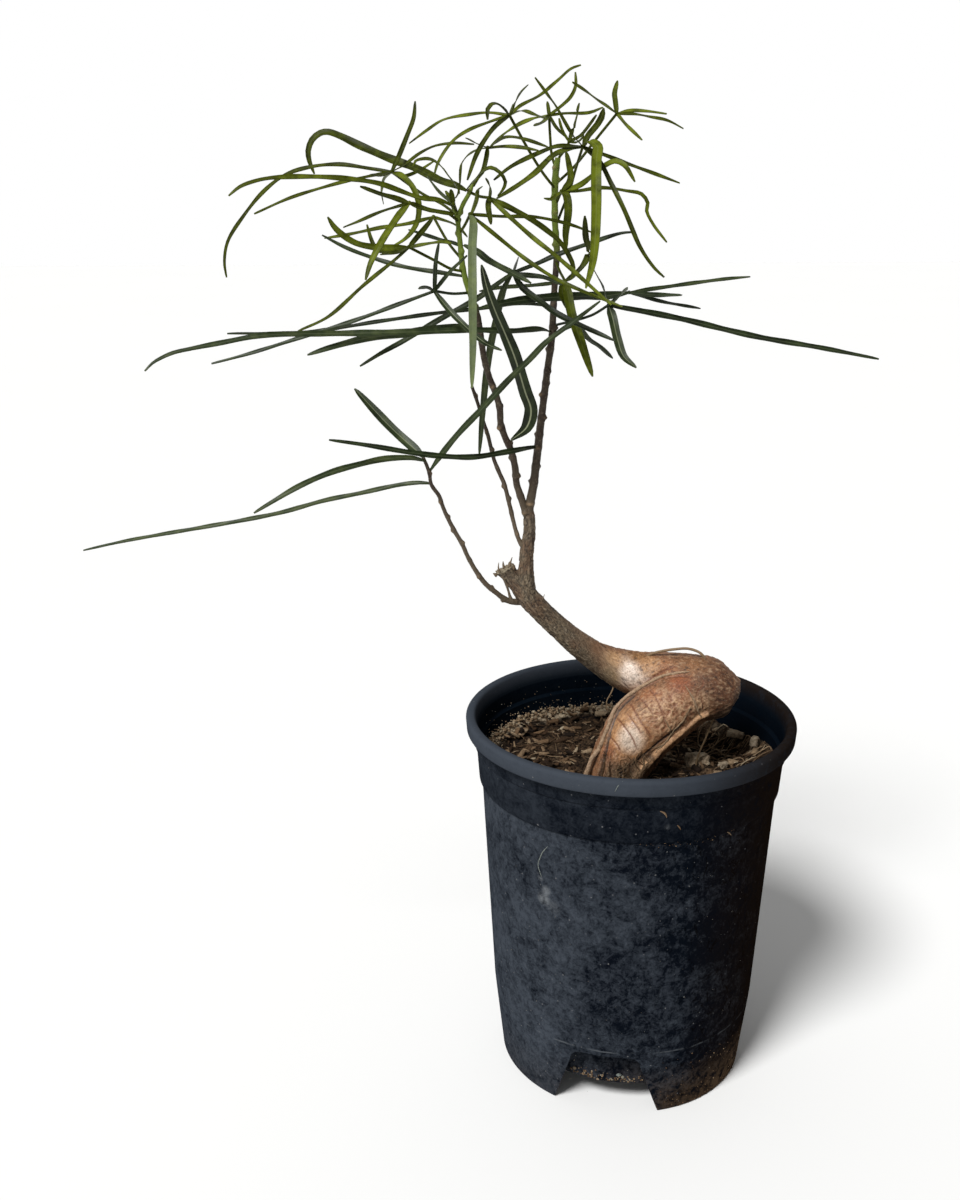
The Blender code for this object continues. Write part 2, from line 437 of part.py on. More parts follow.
def neville(near, times, moment):
    """One point of a Catmull-Rom span by repeated linear blending."""
    def blend(a, b, low, high):
        share = (moment - low) / (high - low)
        return [p + (q - p) * share for p, q in zip(a, b)]

    first = [blend(near[i], near[i + 1], times[i], times[i + 1]) for i in range(3)]
    second = [blend(first[i], first[i + 1], times[i], times[i + 2]) for i in range(2)]
    return blend(second[0], second[1], times[1], times[2])


def lengthened(centres, reach):
    """The same centre line, reaching a little further out at both ends."""
    ways = tangents(centres)
    return [centres[0] - ways[0] * reach, *centres[1:-1], centres[-1] + ways[-1] * reach]


def tangents(centres):
    found = []
    for index in range(len(centres)):
        before = centres[max(index - 1, 0)]
        after = centres[min(index + 1, len(centres) - 1)]
        found.append((after - before).normalized())
    return found


def loft(name, rings, collection):
    """A closed solid through rings of equal count: the first ring's face is extruded from ring to ring."""
    bm = bmesh.new()
    start = [bm.verts.new(point) for point in rings[0]]
    face = bm.faces.new(start)
    for ring in rings[1:]:
        face = bmesh.ops.extrude_discrete_faces(bm, faces=[face])["faces"][0]
        for vert, point in zip(face.verts, ring):
            vert.co = point
    bm.faces.new(reversed(start))
    return add_object(name, bm, collection)


def stem(name, points, collection, grown=0.0, sides=7, step=STEM_STEP, buds=True):
    """A round stem of changing radius, with small swellings at its buds."""
    scaled = [[value * MM for value in point] for point in points]
    route = smooth_route(scaled, step)
    centres = lengthened([Vector(point[:3]) for point in route], grown)
    rings = []
    travelled = 0.0
    up = Vector((0.13, 0.99, 0.05))
    for index, (centre, along) in enumerate(zip(centres, tangents(centres))):
        if index:
            travelled += (centre - centres[index - 1]).length
        radius = route[index][3]
        if buds:
            wave = max(0.0, math.cos(2 * math.pi * travelled / BUD_SPACING))
            radius *= 1 + BUD_SWELL * wave ** 6
        side = along.cross(up).normalized()
        up = side.cross(along).normalized()
        rings.append([centre + (side * math.cos(angle) + up * math.sin(angle)) * (radius + grown)
                      for angle in [2 * math.pi * corner / sides for corner in range(sides)]])
    return loft(name, rings, collection)


def limb(name, points, collection, grown=0.0, keels=(), sides=16, step=WOOD_STEP):
    """A thick limb of the caudex, whose cross section may carry keels along its length."""
    scaled = [[value * MM for value in point] for point in points]
    route = smooth_route(scaled, step)
    centres = lengthened([Vector(point[:3]) for point in route], grown)
    rings = []
    for index, (centre, along) in enumerate(zip(centres, tangents(centres))):
        forward = Vector((0.0, -1.0, 0.0))
        up = forward.cross(along).normalized()
        forward = along.cross(up).normalized()
        ring = []
        for corner in range(sides):
            angle = 2 * math.pi * corner / sides
            swell = sum(math.exp(-((wrapped(angle - keel) / KEEL_WIDTH) ** 2)) for keel in keels)
            radius = route[index][3] * (1 + KEEL_HEIGHT * swell) + grown
            ring.append(centre + (forward * math.cos(angle) + up * math.sin(angle)) * radius)
        rings.append(ring)
    return loft(name, rings, collection)


def wrapped(angle):
    return (angle + math.pi) % (2 * math.pi) - math.pi


def wood_pieces(collection, grown, tag):
    """Everything that grew as one woody piece, still as separate overlapping solids."""
    pieces = [
        limb("front_limb" + tag, FRONT_LIMB, collection, grown, KEEL_ANGLES),
        limb("rear_limb" + tag, REAR_LIMB, collection, grown),
        stem("trunk_top" + tag, TRUNK_TOP, collection, grown, sides=10, buds=False),
        stem("right_stem" + tag, RIGHT_STEM, collection, grown),
        stem("middle_stem" + tag, MIDDLE_STEM, collection, grown),
        stem("middle_twig" + tag, MIDDLE_TWIG, collection, grown, sides=6),
        stem("thin_stem" + tag, THIN_STEM, collection, grown, sides=6),
        stem("low_branch" + tag, LOW_BRANCH, collection, grown, sides=6),
        stem("cut_twig" + tag, CUT_TWIG, collection, grown, sides=6, buds=False),
        stem("arch_root" + tag, ARCH_ROOT, collection, grown, sides=5, buds=False),
        stem("hanging_root" + tag, HANGING_ROOT, collection, grown, sides=5, buds=False),
        stem("prop_root" + tag, PROP_ROOT, collection, grown, sides=5, buds=False),
    ]
    return pieces


def make_wood(collection, grown=0.0, name="wood", tag="_piece"):
    first, *others = wood_pieces(collection, grown, tag)
    first.name = name
    return combine(first, others, "UNION")


def blade_width(share, width):
    """Width along a narrow leaf: a thin base, nearly even sides and a short point."""
    if share < WIDEST:
        rise = math.sin(0.5 * math.pi * share / WIDEST)
        return BASE_WIDTH + (width - BASE_WIDTH) * rise
    left = 1 - ((share - WIDEST) / (1 - WIDEST)) ** TIP_BLUNTNESS
    return TIP_WIDTH + (width - TIP_WIDTH) * max(left, 0.0) ** TIP_ROUNDING


def blade(name, width, points, collection):
    """A narrow leaf blade with a lens-shaped section, whose upper side faces the front and up."""
    scaled = [[value * MM for value in point] for point in points]
    length = sum((Vector(b) - Vector(a)).length for a, b in zip(scaled, scaled[1:]))
    route = smooth_route(scaled, min(BLADE_STEP, length / 3))
    centres = [Vector(point) for point in route]
    travelled = [0.0]
    for before, after in zip(centres, centres[1:]):
        travelled.append(travelled[-1] + (after - before).length)
    rings = []
    for centre, along, gone in zip(centres, tangents(centres), travelled):
        side = along.cross(BLADE_FACES)
        if side.length < 0.3:
            side = along.cross(Vector((1.0, 0.0, 0.3)))
        side.normalize()
        face = side.cross(along).normalized()
        half = 0.5 * blade_width(gone / travelled[-1], width * MM)
        thick = 0.5 * BLADE_THICKNESS
        rings.append([centre - side * half, centre - face * thick,
                      centre + side * half, centre + face * thick])
    return loft(name, rings, collection)


def make_leaf(name, stalk, leaflets, collection, wood_room):
    """One leaf: its stalk and leaflets joined at the knuckle where they meet, and cut free of the wood."""
    hub = stalk[-1]
    blades = [blade(f"{name}_blade_{index}", width, [hub, *points], collection)
              for index, (width, *points) in enumerate(leaflets)]
    others = blades[1:]
    if len(stalk) > 1:
        others.append(stem(name + "_stalk", [(*point, STALK_RADIUS / MM) for point in stalk], collection,
                           sides=5, step=0.008, buds=False))
        knuckle = bmesh.new()
        bmesh.ops.create_icosphere(knuckle, subdivisions=1, radius=0.0011)
        bmesh.ops.translate(knuckle, verts=knuckle.verts, vec=Vector(hub) * MM)
        others.append(add_object(name + "_knuckle", knuckle, collection))
    leaf = blades[0]
    leaf.name = name
    if others:
        combine(leaf, others, "UNION")
    return keep_main_body(combine(leaf, [copy_of(wood_room, "room", collection)], "DIFFERENCE"))


def inner_radius(height):
    """The pot wall's inner radius at a height between the floor and the neck."""
    stations = ((0.0, FOOT_RADIUS), (WALL_TURN, WALL_TURN_RADIUS), (BAND_BOTTOM - 0.002, WALL_TOP_RADIUS),
                (BAND_BOTTOM, BAND_RADIUS), (NECK_BOTTOM, BAND_TOP_RADIUS - 0.0006))
    for (low, low_radius), (high, high_radius) in zip(stations, stations[1:]):
        if height <= high:
            share = (height - low) / (high - low)
            return low_radius + (high_radius - low_radius) * share - WALL
    return BAND_TOP_RADIUS - WALL


def outer_profile():
    lip_bottom = POT_HEIGHT - LIP_HEIGHT
    corner = [(RIM_RADIUS - LIP_ROUND * (1 - math.sin(turn)), POT_HEIGHT - LIP_ROUND * (1 - math.cos(turn)))
              for turn in (0.0, math.pi / 6, math.pi / 3, math.pi / 2)]
    return [(0.0, POT_HEIGHT), *corner,
            (RIM_RADIUS - 0.0004, lip_bottom + 0.0012), (RIM_RADIUS - 0.0016, lip_bottom),
            (NECK_RADIUS, lip_bottom - 0.0008), (NECK_RADIUS, NECK_BOTTOM + 0.001),
            (BAND_TOP_RADIUS, NECK_BOTTOM), (BAND_RADIUS, BAND_BOTTOM + 0.001),
            (WALL_TOP_RADIUS, BAND_BOTTOM - 0.0006), (WALL_TURN_RADIUS, WALL_TURN), (FOOT_RADIUS, 0.0), (0.0, 0.0)]


def cavity_profile():
    floor_top = FLOOR_UNDERSIDE + FLOOR
    mouth = RIM_RADIUS - LIP_WIDTH
    return [(0.0, POT_HEIGHT + 0.01), (mouth + 0.001, POT_HEIGHT + 0.01), (mouth + 0.001, POT_HEIGHT),
            (mouth, POT_HEIGHT - 0.0015), (NECK_RADIUS - WALL, POT_HEIGHT - LIP_HEIGHT),
            (NECK_RADIUS - WALL, NECK_BOTTOM), (BAND_TOP_RADIUS - WALL - 0.0006, NECK_BOTTOM - 0.001),
            *[(inner_radius(height), height)
              for height in (BAND_BOTTOM, BAND_BOTTOM - 0.002, WALL_TURN, floor_top)],
            (0.0, floor_top)]


def recess_cutters(collection, grown, tag):
    """The arched hollows between the feet: arch prisms across the wall, cut back to a round inner wall."""
    cutters = []
    for index in range(RECESS_COUNT):
        heading = RECESS_FIRST + index * 2 * math.pi / RECESS_COUNT
        top = RECESS_TOP + grown
        shoulder = RECESS_TOP_HALF + grown
        foot = RECESS_FOOT_HALF + grown
        turns = [math.radians(angle) for angle in (0, 30, 60, 90)]
        right = [(shoulder - RECESS_ROUND * (1 - math.sin(turn)), top - RECESS_ROUND * (1 - math.cos(turn)))
                 for turn in turns]
        outline = [(-foot, -0.005), *[(-across, height) for across, height in reversed(right)],
                   *right, (foot, -0.005)]
        outward = Vector((math.cos(heading), math.sin(heading), 0.0))
        across_way = Vector((-math.sin(heading), math.cos(heading), 0.0))
        rings = [[outward * reach + across_way * across + Vector((0.0, 0.0, height))
                  for across, height in outline] for reach in (0.03, 0.12)]
        prism = loft(f"recess_{index}{tag}", rings, collection)
        back = RECESS_BACK_RADIUS - grown
        core = turned(f"recess_core_{index}{tag}", [(0.0, 0.06), (back, 0.06), (back, -0.02), (0.0, -0.02)],
                      collection)
        cutters.append(combine(prism, [core], "DIFFERENCE"))
    return cutters


def drain_cutters(collection):
    cutters = []
    for index in range(DRAIN_COUNT):
        angle = 2 * math.pi * index / DRAIN_COUNT
        bm = bmesh.new()
        bmesh.ops.create_cone(bm, cap_ends=True, segments=14, radius1=DRAIN_RADIUS, radius2=DRAIN_RADIUS,
                              depth=0.02)
        place = Vector((DRAIN_RING * math.cos(angle), DRAIN_RING * math.sin(angle), FLOOR_UNDERSIDE))
        bmesh.ops.translate(bm, verts=bm.verts, vec=place)
        cutters.append(add_object(f"drain_{index}", bm, collection))
    return cutters


def make_pot(collection):
    pot = turned("pot", outer_profile(), collection)
    cavity = turned("pot_cavity", cavity_profile(), collection)
    combine(cavity, recess_cutters(collection, WALL, "_wall"), "DIFFERENCE")
    under_radius = FOOT_RADIUS - FOOT_WALL
    underside = turned("pot_underside", [(0.0, FLOOR_UNDERSIDE), (under_radius, FLOOR_UNDERSIDE),
                                         (under_radius, -0.01), (0.0, -0.01)], collection)
    combine(pot, [cavity, underside, *recess_cutters(collection, 0.0, "_cut"), *drain_cutters(collection)],
            "DIFFERENCE")
    return dress(pot, plain_material("pot_plastic", (0.035, 0.042, 0.058), 0.6))


def soil_height(x, y):
    """The soil's uneven top: bumps of bark, a crust along the wall and a hollow under the caudex."""
    place = Vector((x, y, 0.0))
    bumps = noise.noise(place / SOIL_BUMP_SIZE) + 0.5 * noise.noise(place * 2.3 / SOIL_BUMP_SIZE)
    hollow = math.exp(-((place - SOIL_HOLLOW).length / SOIL_HOLLOW_REACH) ** 2)
    crust = math.exp((place.length - SOIL_EDGE) / SOIL_EDGE_REACH)
    side_rise = (SOIL_RIGHT_RISE if x > 0 else SOIL_LEFT_RISE) * (x / SOIL_EDGE) ** 2
    level = SOIL_TOP + (SOIL_EDGE_RISE + side_rise) * crust
    return level + SOIL_BUMP * bumps * (1 - crust) - SOIL_HOLLOW_DEPTH * hollow


def make_soil(collection, foot_room):
    floor_top = FLOOR_UNDERSIDE + FLOOR + GAP
    top = [(SOIL_EDGE * ring / SOIL_RINGS, SOIL_TOP) for ring in range(SOIL_RINGS + 1)]
    side = [(inner_radius(height) - GAP, height + GAP)
            for height in (BAND_BOTTOM, BAND_BOTTOM - 0.002, WALL_TURN, floor_top - GAP)]
    profile = [*top, *side, (0.0, floor_top)]
    soil = turned("soil", profile, collection)
    for vert in soil.data.vertices:
        if vert.co.z > SOIL_TOP - 0.0001:
            vert.co.z = soil_height(vert.co.x, vert.co.y)
    cutters = recess_cutters(collection, WALL + GAP, "_soil") + [foot_room]
    for name, centre, size, turn in CHIPS:
        cutters.append(chip_solid(name + "_room", centre, size, turn, collection, GAP))
    combine(soil, cutters, "DIFFERENCE")
    return dress(soil, plain_material("bark_mix", (0.12, 0.075, 0.045), 0.95))


def chip_solid(name, centre, size, turn, collection, grown=0.0):
    """A stone or a chip of bark: a block with one end narrower and bevelled edges."""
    bm = bmesh.new()
    bmesh.ops.create_cube(bm, size=1.0)
    length, width, height = (value * MM + 2 * grown for value in size)
    for vert in bm.verts:
        taper = 0.82 if vert.co.x > 0 else 1.0
        vert.co = Vector((vert.co.x * length, vert.co.y * width * taper, vert.co.z * height * taper))
    bmesh.ops.bevel(bm, geom=bm.edges, offset=0.14 * min(length, width, height), segments=1, affect="EDGES")
    angle = math.radians(turn)
    for vert in bm.verts:
        x = vert.co.x * math.cos(angle) - vert.co.y * math.sin(angle)
        y = vert.co.x * math.sin(angle) + vert.co.y * math.cos(angle)
        vert.co = Vector((x, y, vert.co.z)) + Vector(centre) * MM
    return add_object(name, bm, collection)


def make_chips(collection):
    colours = {"bark_block": (0.30, 0.21, 0.13), "pale_stone": (0.62, 0.55, 0.45),
               "bark_flake": (0.30, 0.25, 0.19), "wall_chip": (0.55, 0.47, 0.37)}
    for name, centre, size, turn in CHIPS:
        chip = chip_solid(name, centre, size, turn, collection)
        dress(chip, plain_material(name + "_colour", colours[name], 0.9))


def centre_on_box(collection):
    """Moves every piece so that the origin lies under the middle of the whole part's box."""
    bpy.context.view_layer.update()
    corners = [obj.matrix_world @ vert.co for obj in collection.objects for vert in obj.data.vertices]
    middle_x = 0.5 * (min(point.x for point in corners) + max(point.x for point in corners))
    middle_y = 0.5 * (min(point.y for point in corners) + max(point.y for point in corners))
    for obj in collection.objects:
        obj.location.x -= middle_x
        obj.location.y -= middle_y


def main():
    clear_scene()
    parts = new_collection(PART_NAME)
    make_pot(parts)
    wood = make_wood(parts)
    dress(wood, plain_material("bark", (0.26, 0.14, 0.08), 0.75))
    foot_room = limb("foot_room", FRONT_LIMB, parts, GAP, KEEL_ANGLES)
    make_chips(parts)
    make_soil(parts, foot_room)
    wood_room = make_wood(parts, GAP, "wood_room", "_room_piece")
    for name, (stalk, leaflets) in LEAVES.items():
        leaf = make_leaf(name, stalk, leaflets, parts, wood_room)
        dress(leaf, plain_material(name + "_green", (0.07, 0.13, 0.04), 0.5))
    bpy.data.objects.remove(wood_room)
    centre_on_box(parts)


main()
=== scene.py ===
"""Potted bottle tree: the looks of the plant, its bark mix and its pot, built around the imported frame.

Lengths are metres unless a name or a comment says millimetres. Routes are measured from the pot's axis at the
floor, in millimetres, like those of the solids that they follow."""

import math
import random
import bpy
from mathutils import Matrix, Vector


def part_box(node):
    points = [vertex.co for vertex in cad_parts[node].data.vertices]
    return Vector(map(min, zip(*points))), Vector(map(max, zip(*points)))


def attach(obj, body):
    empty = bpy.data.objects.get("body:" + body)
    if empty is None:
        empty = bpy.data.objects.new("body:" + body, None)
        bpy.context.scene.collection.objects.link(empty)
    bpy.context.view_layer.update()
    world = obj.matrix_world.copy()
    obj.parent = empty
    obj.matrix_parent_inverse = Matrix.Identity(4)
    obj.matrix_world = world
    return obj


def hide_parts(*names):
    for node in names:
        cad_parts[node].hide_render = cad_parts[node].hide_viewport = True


bl_info = {
    "name": "Potted Bottle Tree",
    "version": (1, 0, 0),
    "blender": (4, 5, 0),
    "location": "3D View > Sidebar > Bottle Tree",
    "description": "Builds a caudex plant with a folded swollen base in a dusty nursery pot",
    "category": "Add Mesh",
}

import bmesh
import bpy
from bpy.props import FloatProperty, FloatVectorProperty, IntProperty, PointerProperty
from bpy.types import Operator, Panel, PropertyGroup
from mathutils import Matrix, Vector, noise
from mathutils.bvhtree import BVHTree
from mathutils.kdtree import KDTree

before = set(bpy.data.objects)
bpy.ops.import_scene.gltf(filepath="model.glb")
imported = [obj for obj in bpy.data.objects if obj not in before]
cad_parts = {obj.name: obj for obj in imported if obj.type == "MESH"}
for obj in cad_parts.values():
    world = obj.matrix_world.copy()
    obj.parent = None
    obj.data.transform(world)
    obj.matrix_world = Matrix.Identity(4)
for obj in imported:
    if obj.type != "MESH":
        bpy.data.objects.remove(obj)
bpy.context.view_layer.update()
POT_LOW, POT_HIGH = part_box("pot")
AXIS = Vector((0.5 * (POT_LOW.x + POT_HIGH.x), 0.5 * (POT_LOW.y + POT_HIGH.y), 0.0))
MM = 0.001

# Pot: radii and heights of the turned wall, from the axis and the floor
LIP_HEIGHT = 0.0085
LIP_WIDTH = 0.005
LIP_ROUND = 0.002
NECK_RADIUS = 0.0805
NECK_BOTTOM = 0.180
BAND_TOP_RADIUS = 0.0795
BAND_RADIUS = 0.0780
BAND_BOTTOM = 0.161
WALL_TOP_RADIUS = 0.0766
WALL_TURN_RADIUS = 0.0697
WALL_TURN = 0.040
FOOT_RADIUS = 0.0651
WALL = 0.002
FOOT_WALL = 0.003
FLOOR_UNDERSIDE = 0.013
FLOOR = 0.0025
RECESS_COUNT = 3
RECESS_FIRST = math.radians(-102.8)
RECESS_TOP = 0.036
RECESS_TOP_HALF = 0.018
RECESS_FOOT_HALF = 0.0285
RECESS_ROUND = 0.006
RECESS_BACK_RADIUS = 0.058
RECESS_CORNER_STEPS = 8
DRAIN_COUNT = 6
DRAIN_RADIUS = 0.004
DRAIN_RING = 0.036
LIP_BOTTOM = POT_HIGH.z - LIP_HEIGHT
LINE_HEIGHT = 0.037
ROUND_STEPS = 96
POT_SPECK = (0.16, 0.16, 0.16)
POT_CRACK = (0.0012, 0.0012, 0.0014)
POT_LINE = (0.10, 0.11, 0.12)
POT_SMUDGE = (0.16, 0.17, 0.18)
# Painted shade on the pot's inner wall
POT_INSIDE_SHADE = (0.0010, 0.0040, 0.0080)
FOOT_DIRT = (0.075, 0.048, 0.028)

# Bark mix: its edge climbs the wall, most of all on the right, and it has a hollow under the caudex
SOIL_TOP = 0.166
SOIL_EDGE_RISE = 0.004
SOIL_RIGHT_RISE = 0.006
SOIL_LEFT_RISE = 0.003
SOIL_EDGE_REACH = 0.010
SOIL_BUMP = 0.003
SOIL_BUMP_SIZE = 0.011
SOIL_HOLLOW = Vector((0.052, 0.030, 0.0))
SOIL_HOLLOW_REACH = 0.024
SOIL_HOLLOW_DEPTH = 0.009
SOIL_GAP = 0.0003
SOIL_EDGE = BAND_RADIUS - WALL - SOIL_GAP
SOIL_RINGS = 96
SOIL_STEPS = 240
SOIL_CRUMB = 0.0011
SOIL_CRUMB_SIZE = 0.0028
# Crust along the back of the wall, with a gap inside it: the angles are degrees
CRUST_HEADING = 112.0
CRUST_SPREAD = 60.0
CRUST_WIDTH = 0.0062
CRUST_UNEVEN = 0.0016
CRUST_GAP = 0.0090
CRUST_GAP_HALF = 0.0028
CRUST_GAP_DEPTH = 0.0034
# Reach of the painted shade in the hollow under the caudex
HOLLOW_SHADE_REACH = 0.022
# Colours of the mix: its dustiest crumbs, and the painted shade in the gap inside the crust and in the hollow
# under the caudex
MIX_DUSTY = (0.20, 0.14, 0.09)
MIX_GAP_SHADE = (0.003, 0.004, 0.006)
MIX_HOLLOW_SHADE = (0.002, 0.0015, 0.001)

# Stones and bark chips on the soil: name, centre and length x width x height in millimetres, turn about Z in
# degrees
CHIPS = (
    ("bark_block", (37, 1, 168), (14, 10, 10), 12),
    ("pale_stone", (50, -2, 167), (6, 4, 4), 30),
    ("bark_flake", (63, 33, 169.5), (10, 6, 4), -35),
    ("wall_chip", (69, 13, 174), (6, 5, 6), 60),
)

CHIP_CORNER = 0.26
CHIP_DENT = 0.26
CHIP_LOOKS = {
    # Brighter than the bark's own tan: painted light on the bark lumps, as the block lies in the caudex's
    # shadow
    "bark": ((0.22, 0.15, 0.09), (0.48, 0.37, 0.25), (0.64, 0.54, 0.40)),
    "grit": ((0.13, 0.095, 0.06), (0.29, 0.225, 0.155), (0.46, 0.38, 0.28)),
}

# Shades of the loose bits, from dark to pale, below each piece's own palest
BIT_SHADES = (
    (0.0, (0.010, 0.006, 0.004)),
    (0.35, (0.055, 0.031, 0.016)),
    (0.62, (0.15, 0.092, 0.050)),
    (0.85, (0.29, 0.205, 0.125)),
)
SOIL_BITS = (0.46, 0.385, 0.27)
POT_BITS = (0.22, 0.25, 0.23)
CORD_BITS = (0.52, 0.36, 0.24)
BIT_GRAIN = (0.22, 0.16, 0.12)
CHIP_GRAIN = (0.02, 0.016, 0.012)

# Wood, as (x, y, z, radius) in millimetres along each centre line
FRONT_LIMB = ((-18, -12, 134, 7), (-15, -13, 148, 11), (-9, -13, 166, 13), (-1.5, -12, 181, 14.8),
              (6, -10, 192, 16), (14, -7, 198, 16), (24, -3, 204, 15.5), (34, 1, 208, 14.5))
REAR_LIMB = ((55, 0, 205, 4), (53, 0, 206, 9), (48, 0, 207, 13.5), (42, 1, 208, 16.5), (35, 3, 209, 17),
             (27, 6, 210.5, 15.5), (18, 9, 211.5, 14), (5, 12, 213, 12), (-6, 14, 216.5, 10),
             (-16, 13, 222, 7.9), (-28, 11, 231.5, 6.5), (-41, 9, 244, 5.6), (-52.5, 7, 256.5, 5.6),
             (-57.5, 7, 263, 4.7), (-61.5, 7.5, 268, 4.3), (-66.5, 8, 274, 5.2))
TRUNK_TOP = ((-50, 7, 255, 3.8), (-53.5, 7, 262, 4.6), (-54, 6.5, 269, 4.2), (-54, 6, 276, 3.7),
             (-53.5, 5.5, 284, 3.6), (-52.5, 5, 292, 3.2), (-52.5, 4.5, 299, 2.9), (-53.5, 4, 305, 2.5))
RIGHT_STEM = ((-53, 4, 302, 2.4), (-52, 4, 308.5, 2.2), (-50.5, 4.5, 316.5, 2.1), (-49.5, 5.5, 325.5, 2),
              (-48.5, 6.5, 334, 2), (-47.5, 7.5, 343, 1.9), (-46.5, 8.5, 351.5, 1.8), (-44, 11, 371.5, 1.7),
              (-42, 12, 387, 1.7), (-41, 13, 409, 1.5), (-40, 13, 429, 1.5), (-41, 14, 441, 1.5),
              (-41, 14, 462, 1.6), (-40, 14, 470, 1.3))
MIDDLE_STEM = ((-53.5, 4, 300, 2), (-57, 3.5, 310.5, 1.8), (-59, 3, 317, 1.7), (-60, 1, 326.5, 1.7),
               (-62, -0.5, 334.5, 1.6), (-65, -1.5, 341.5, 1.6), (-67, -3, 348, 1.6),
               (-67.5, -4.5, 355.5, 1.6), (-69.5, -6, 363, 1.5), (-72.5, -7.5, 371, 1.5),
               (-75, -9, 380.5, 1.5), (-78, -12, 400, 1.4), (-84, -14, 419, 1.3), (-86, -15, 436, 1.2),
               (-87, -15, 444, 1.1), (-90, -16, 453, 1.2))
MIDDLE_TWIG = ((-87, -15, 443, 1), (-84, -17, 450, 1), (-81, -18, 455, 0.9), (-80, -17, 458, 0.8))
THIN_STEM = ((-53.5, 4, 282, 1.4), (-57, 5, 286.5, 1.2), (-59, 6, 291.5, 1.1), (-62, 9, 303.5, 1.1),
             (-65, 12, 315, 1.1), (-67.5, 14, 320.5, 1.1), (-70, 16, 326.5, 1), (-71.5, 18, 332, 1),
             (-73, 20, 338, 1), (-75.5, 22, 345.5, 0.9), (-79, 24, 356.5, 0.9), (-81, 25, 362, 0.8))
LOW_BRANCH = ((-52, 7, 255, 2), (-59.5, 7, 254.5, 1.7), (-64, 6, 256, 1.5), (-69.5, 3, 261, 1.3),
              (-74, 1, 265.5, 1.3), (-78.5, -1, 272, 1.2), (-83.5, -4, 282, 1.1), (-86, -6, 288.5, 1.1),
              (-89.5, -8, 295.5, 1.1), (-92.5, -10, 302, 1), (-95, -12, 308.5, 1), (-97, -14, 315, 1),
              (-100.5, -16, 321, 0.9), (-101.5, -17, 327.5, 0.9), (-104, -18, 334.5, 0.8))
CUT_TWIG = ((-58.5, 5.5, 254.5, 1.1), (-60.5, 4.5, 255.5, 0.9), (-62, 4, 258, 0.8), (-63, 4, 261.5, 0.6),
            (-64, 4, 264.5, 0.6), (-65, 4, 267, 0.6), (-66, 4.5, 269, 0.6))
ARCH_ROOT = ((7, 11, 222, 0.9), (13, 7, 226.5, 0.7), (22, 5, 229, 0.7), (30, 3, 230, 0.7),
             (36, 1, 228, 0.7), (39, 1, 223, 0.9))
HANGING_ROOT = ((-7, 12, 210, 0.8), (-8, 10, 205, 0.4), (-11, 9, 199, 0.3), (-11, 9, 194, 0.3))
PROP_ROOT = ((43, -9, 200, 0.6), (41, -8, 191.5, 0.5), (39, -7, 184.5, 0.5), (37, -6, 178, 0.5),
             (35.5, -5, 172, 0.5), (35, -5, 168, 0.5))
# The thin stems, twigs and roots: name, line, sides, and the height in millimetres where it turns green
STEMS = (
    ("right_stem", RIGHT_STEM, 16, 422),
    ("middle_stem", MIDDLE_STEM, 16, 400),
    ("middle_twig", MIDDLE_TWIG, 12, 430),
    ("thin_stem", THIN_STEM, 12, 600),
    ("low_branch", LOW_BRANCH, 12, 600),
    ("cut_twig", CUT_TWIG, 10, 600),
    ("arch_root", ARCH_ROOT, 10, 600),
    ("hanging_root", HANGING_ROOT, 8, 600),
    ("prop_root", PROP_ROOT, 8, 600),
)
STEM_SEED = 5
GREEN_FADE = 12
OLD_BELOW = 325
OLD_FADE = 30
STEM_PATCH = (0.050, 0.037, 0.022)
STEM_OLD = (0.095, 0.070, 0.044)
STEM_FLECK = (0.19, 0.15, 0.10)
STEM_GREEN = (0.115, 0.160, 0.014)
STEM_SCAR = (0.30, 0.20, 0.11)

# Keels of the front limb: a broad swelling, to the limb's radius, with a narrow crest on it
KEEL_HEIGHT = 0.07
KEEL_WIDTH = math.radians(14)
KEEL_ANGLES = (math.radians(100), math.radians(-64))
CREST_WIDTH = math.radians(4.5)
CREST_HEIGHT = 0.0008
# Bud scars on the thin stems
BUD_SPACING = 0.009
BUD_LENGTH = 0.0011
BUD_SWELL = 0.60
SCAR_LENGTH = 0.0007

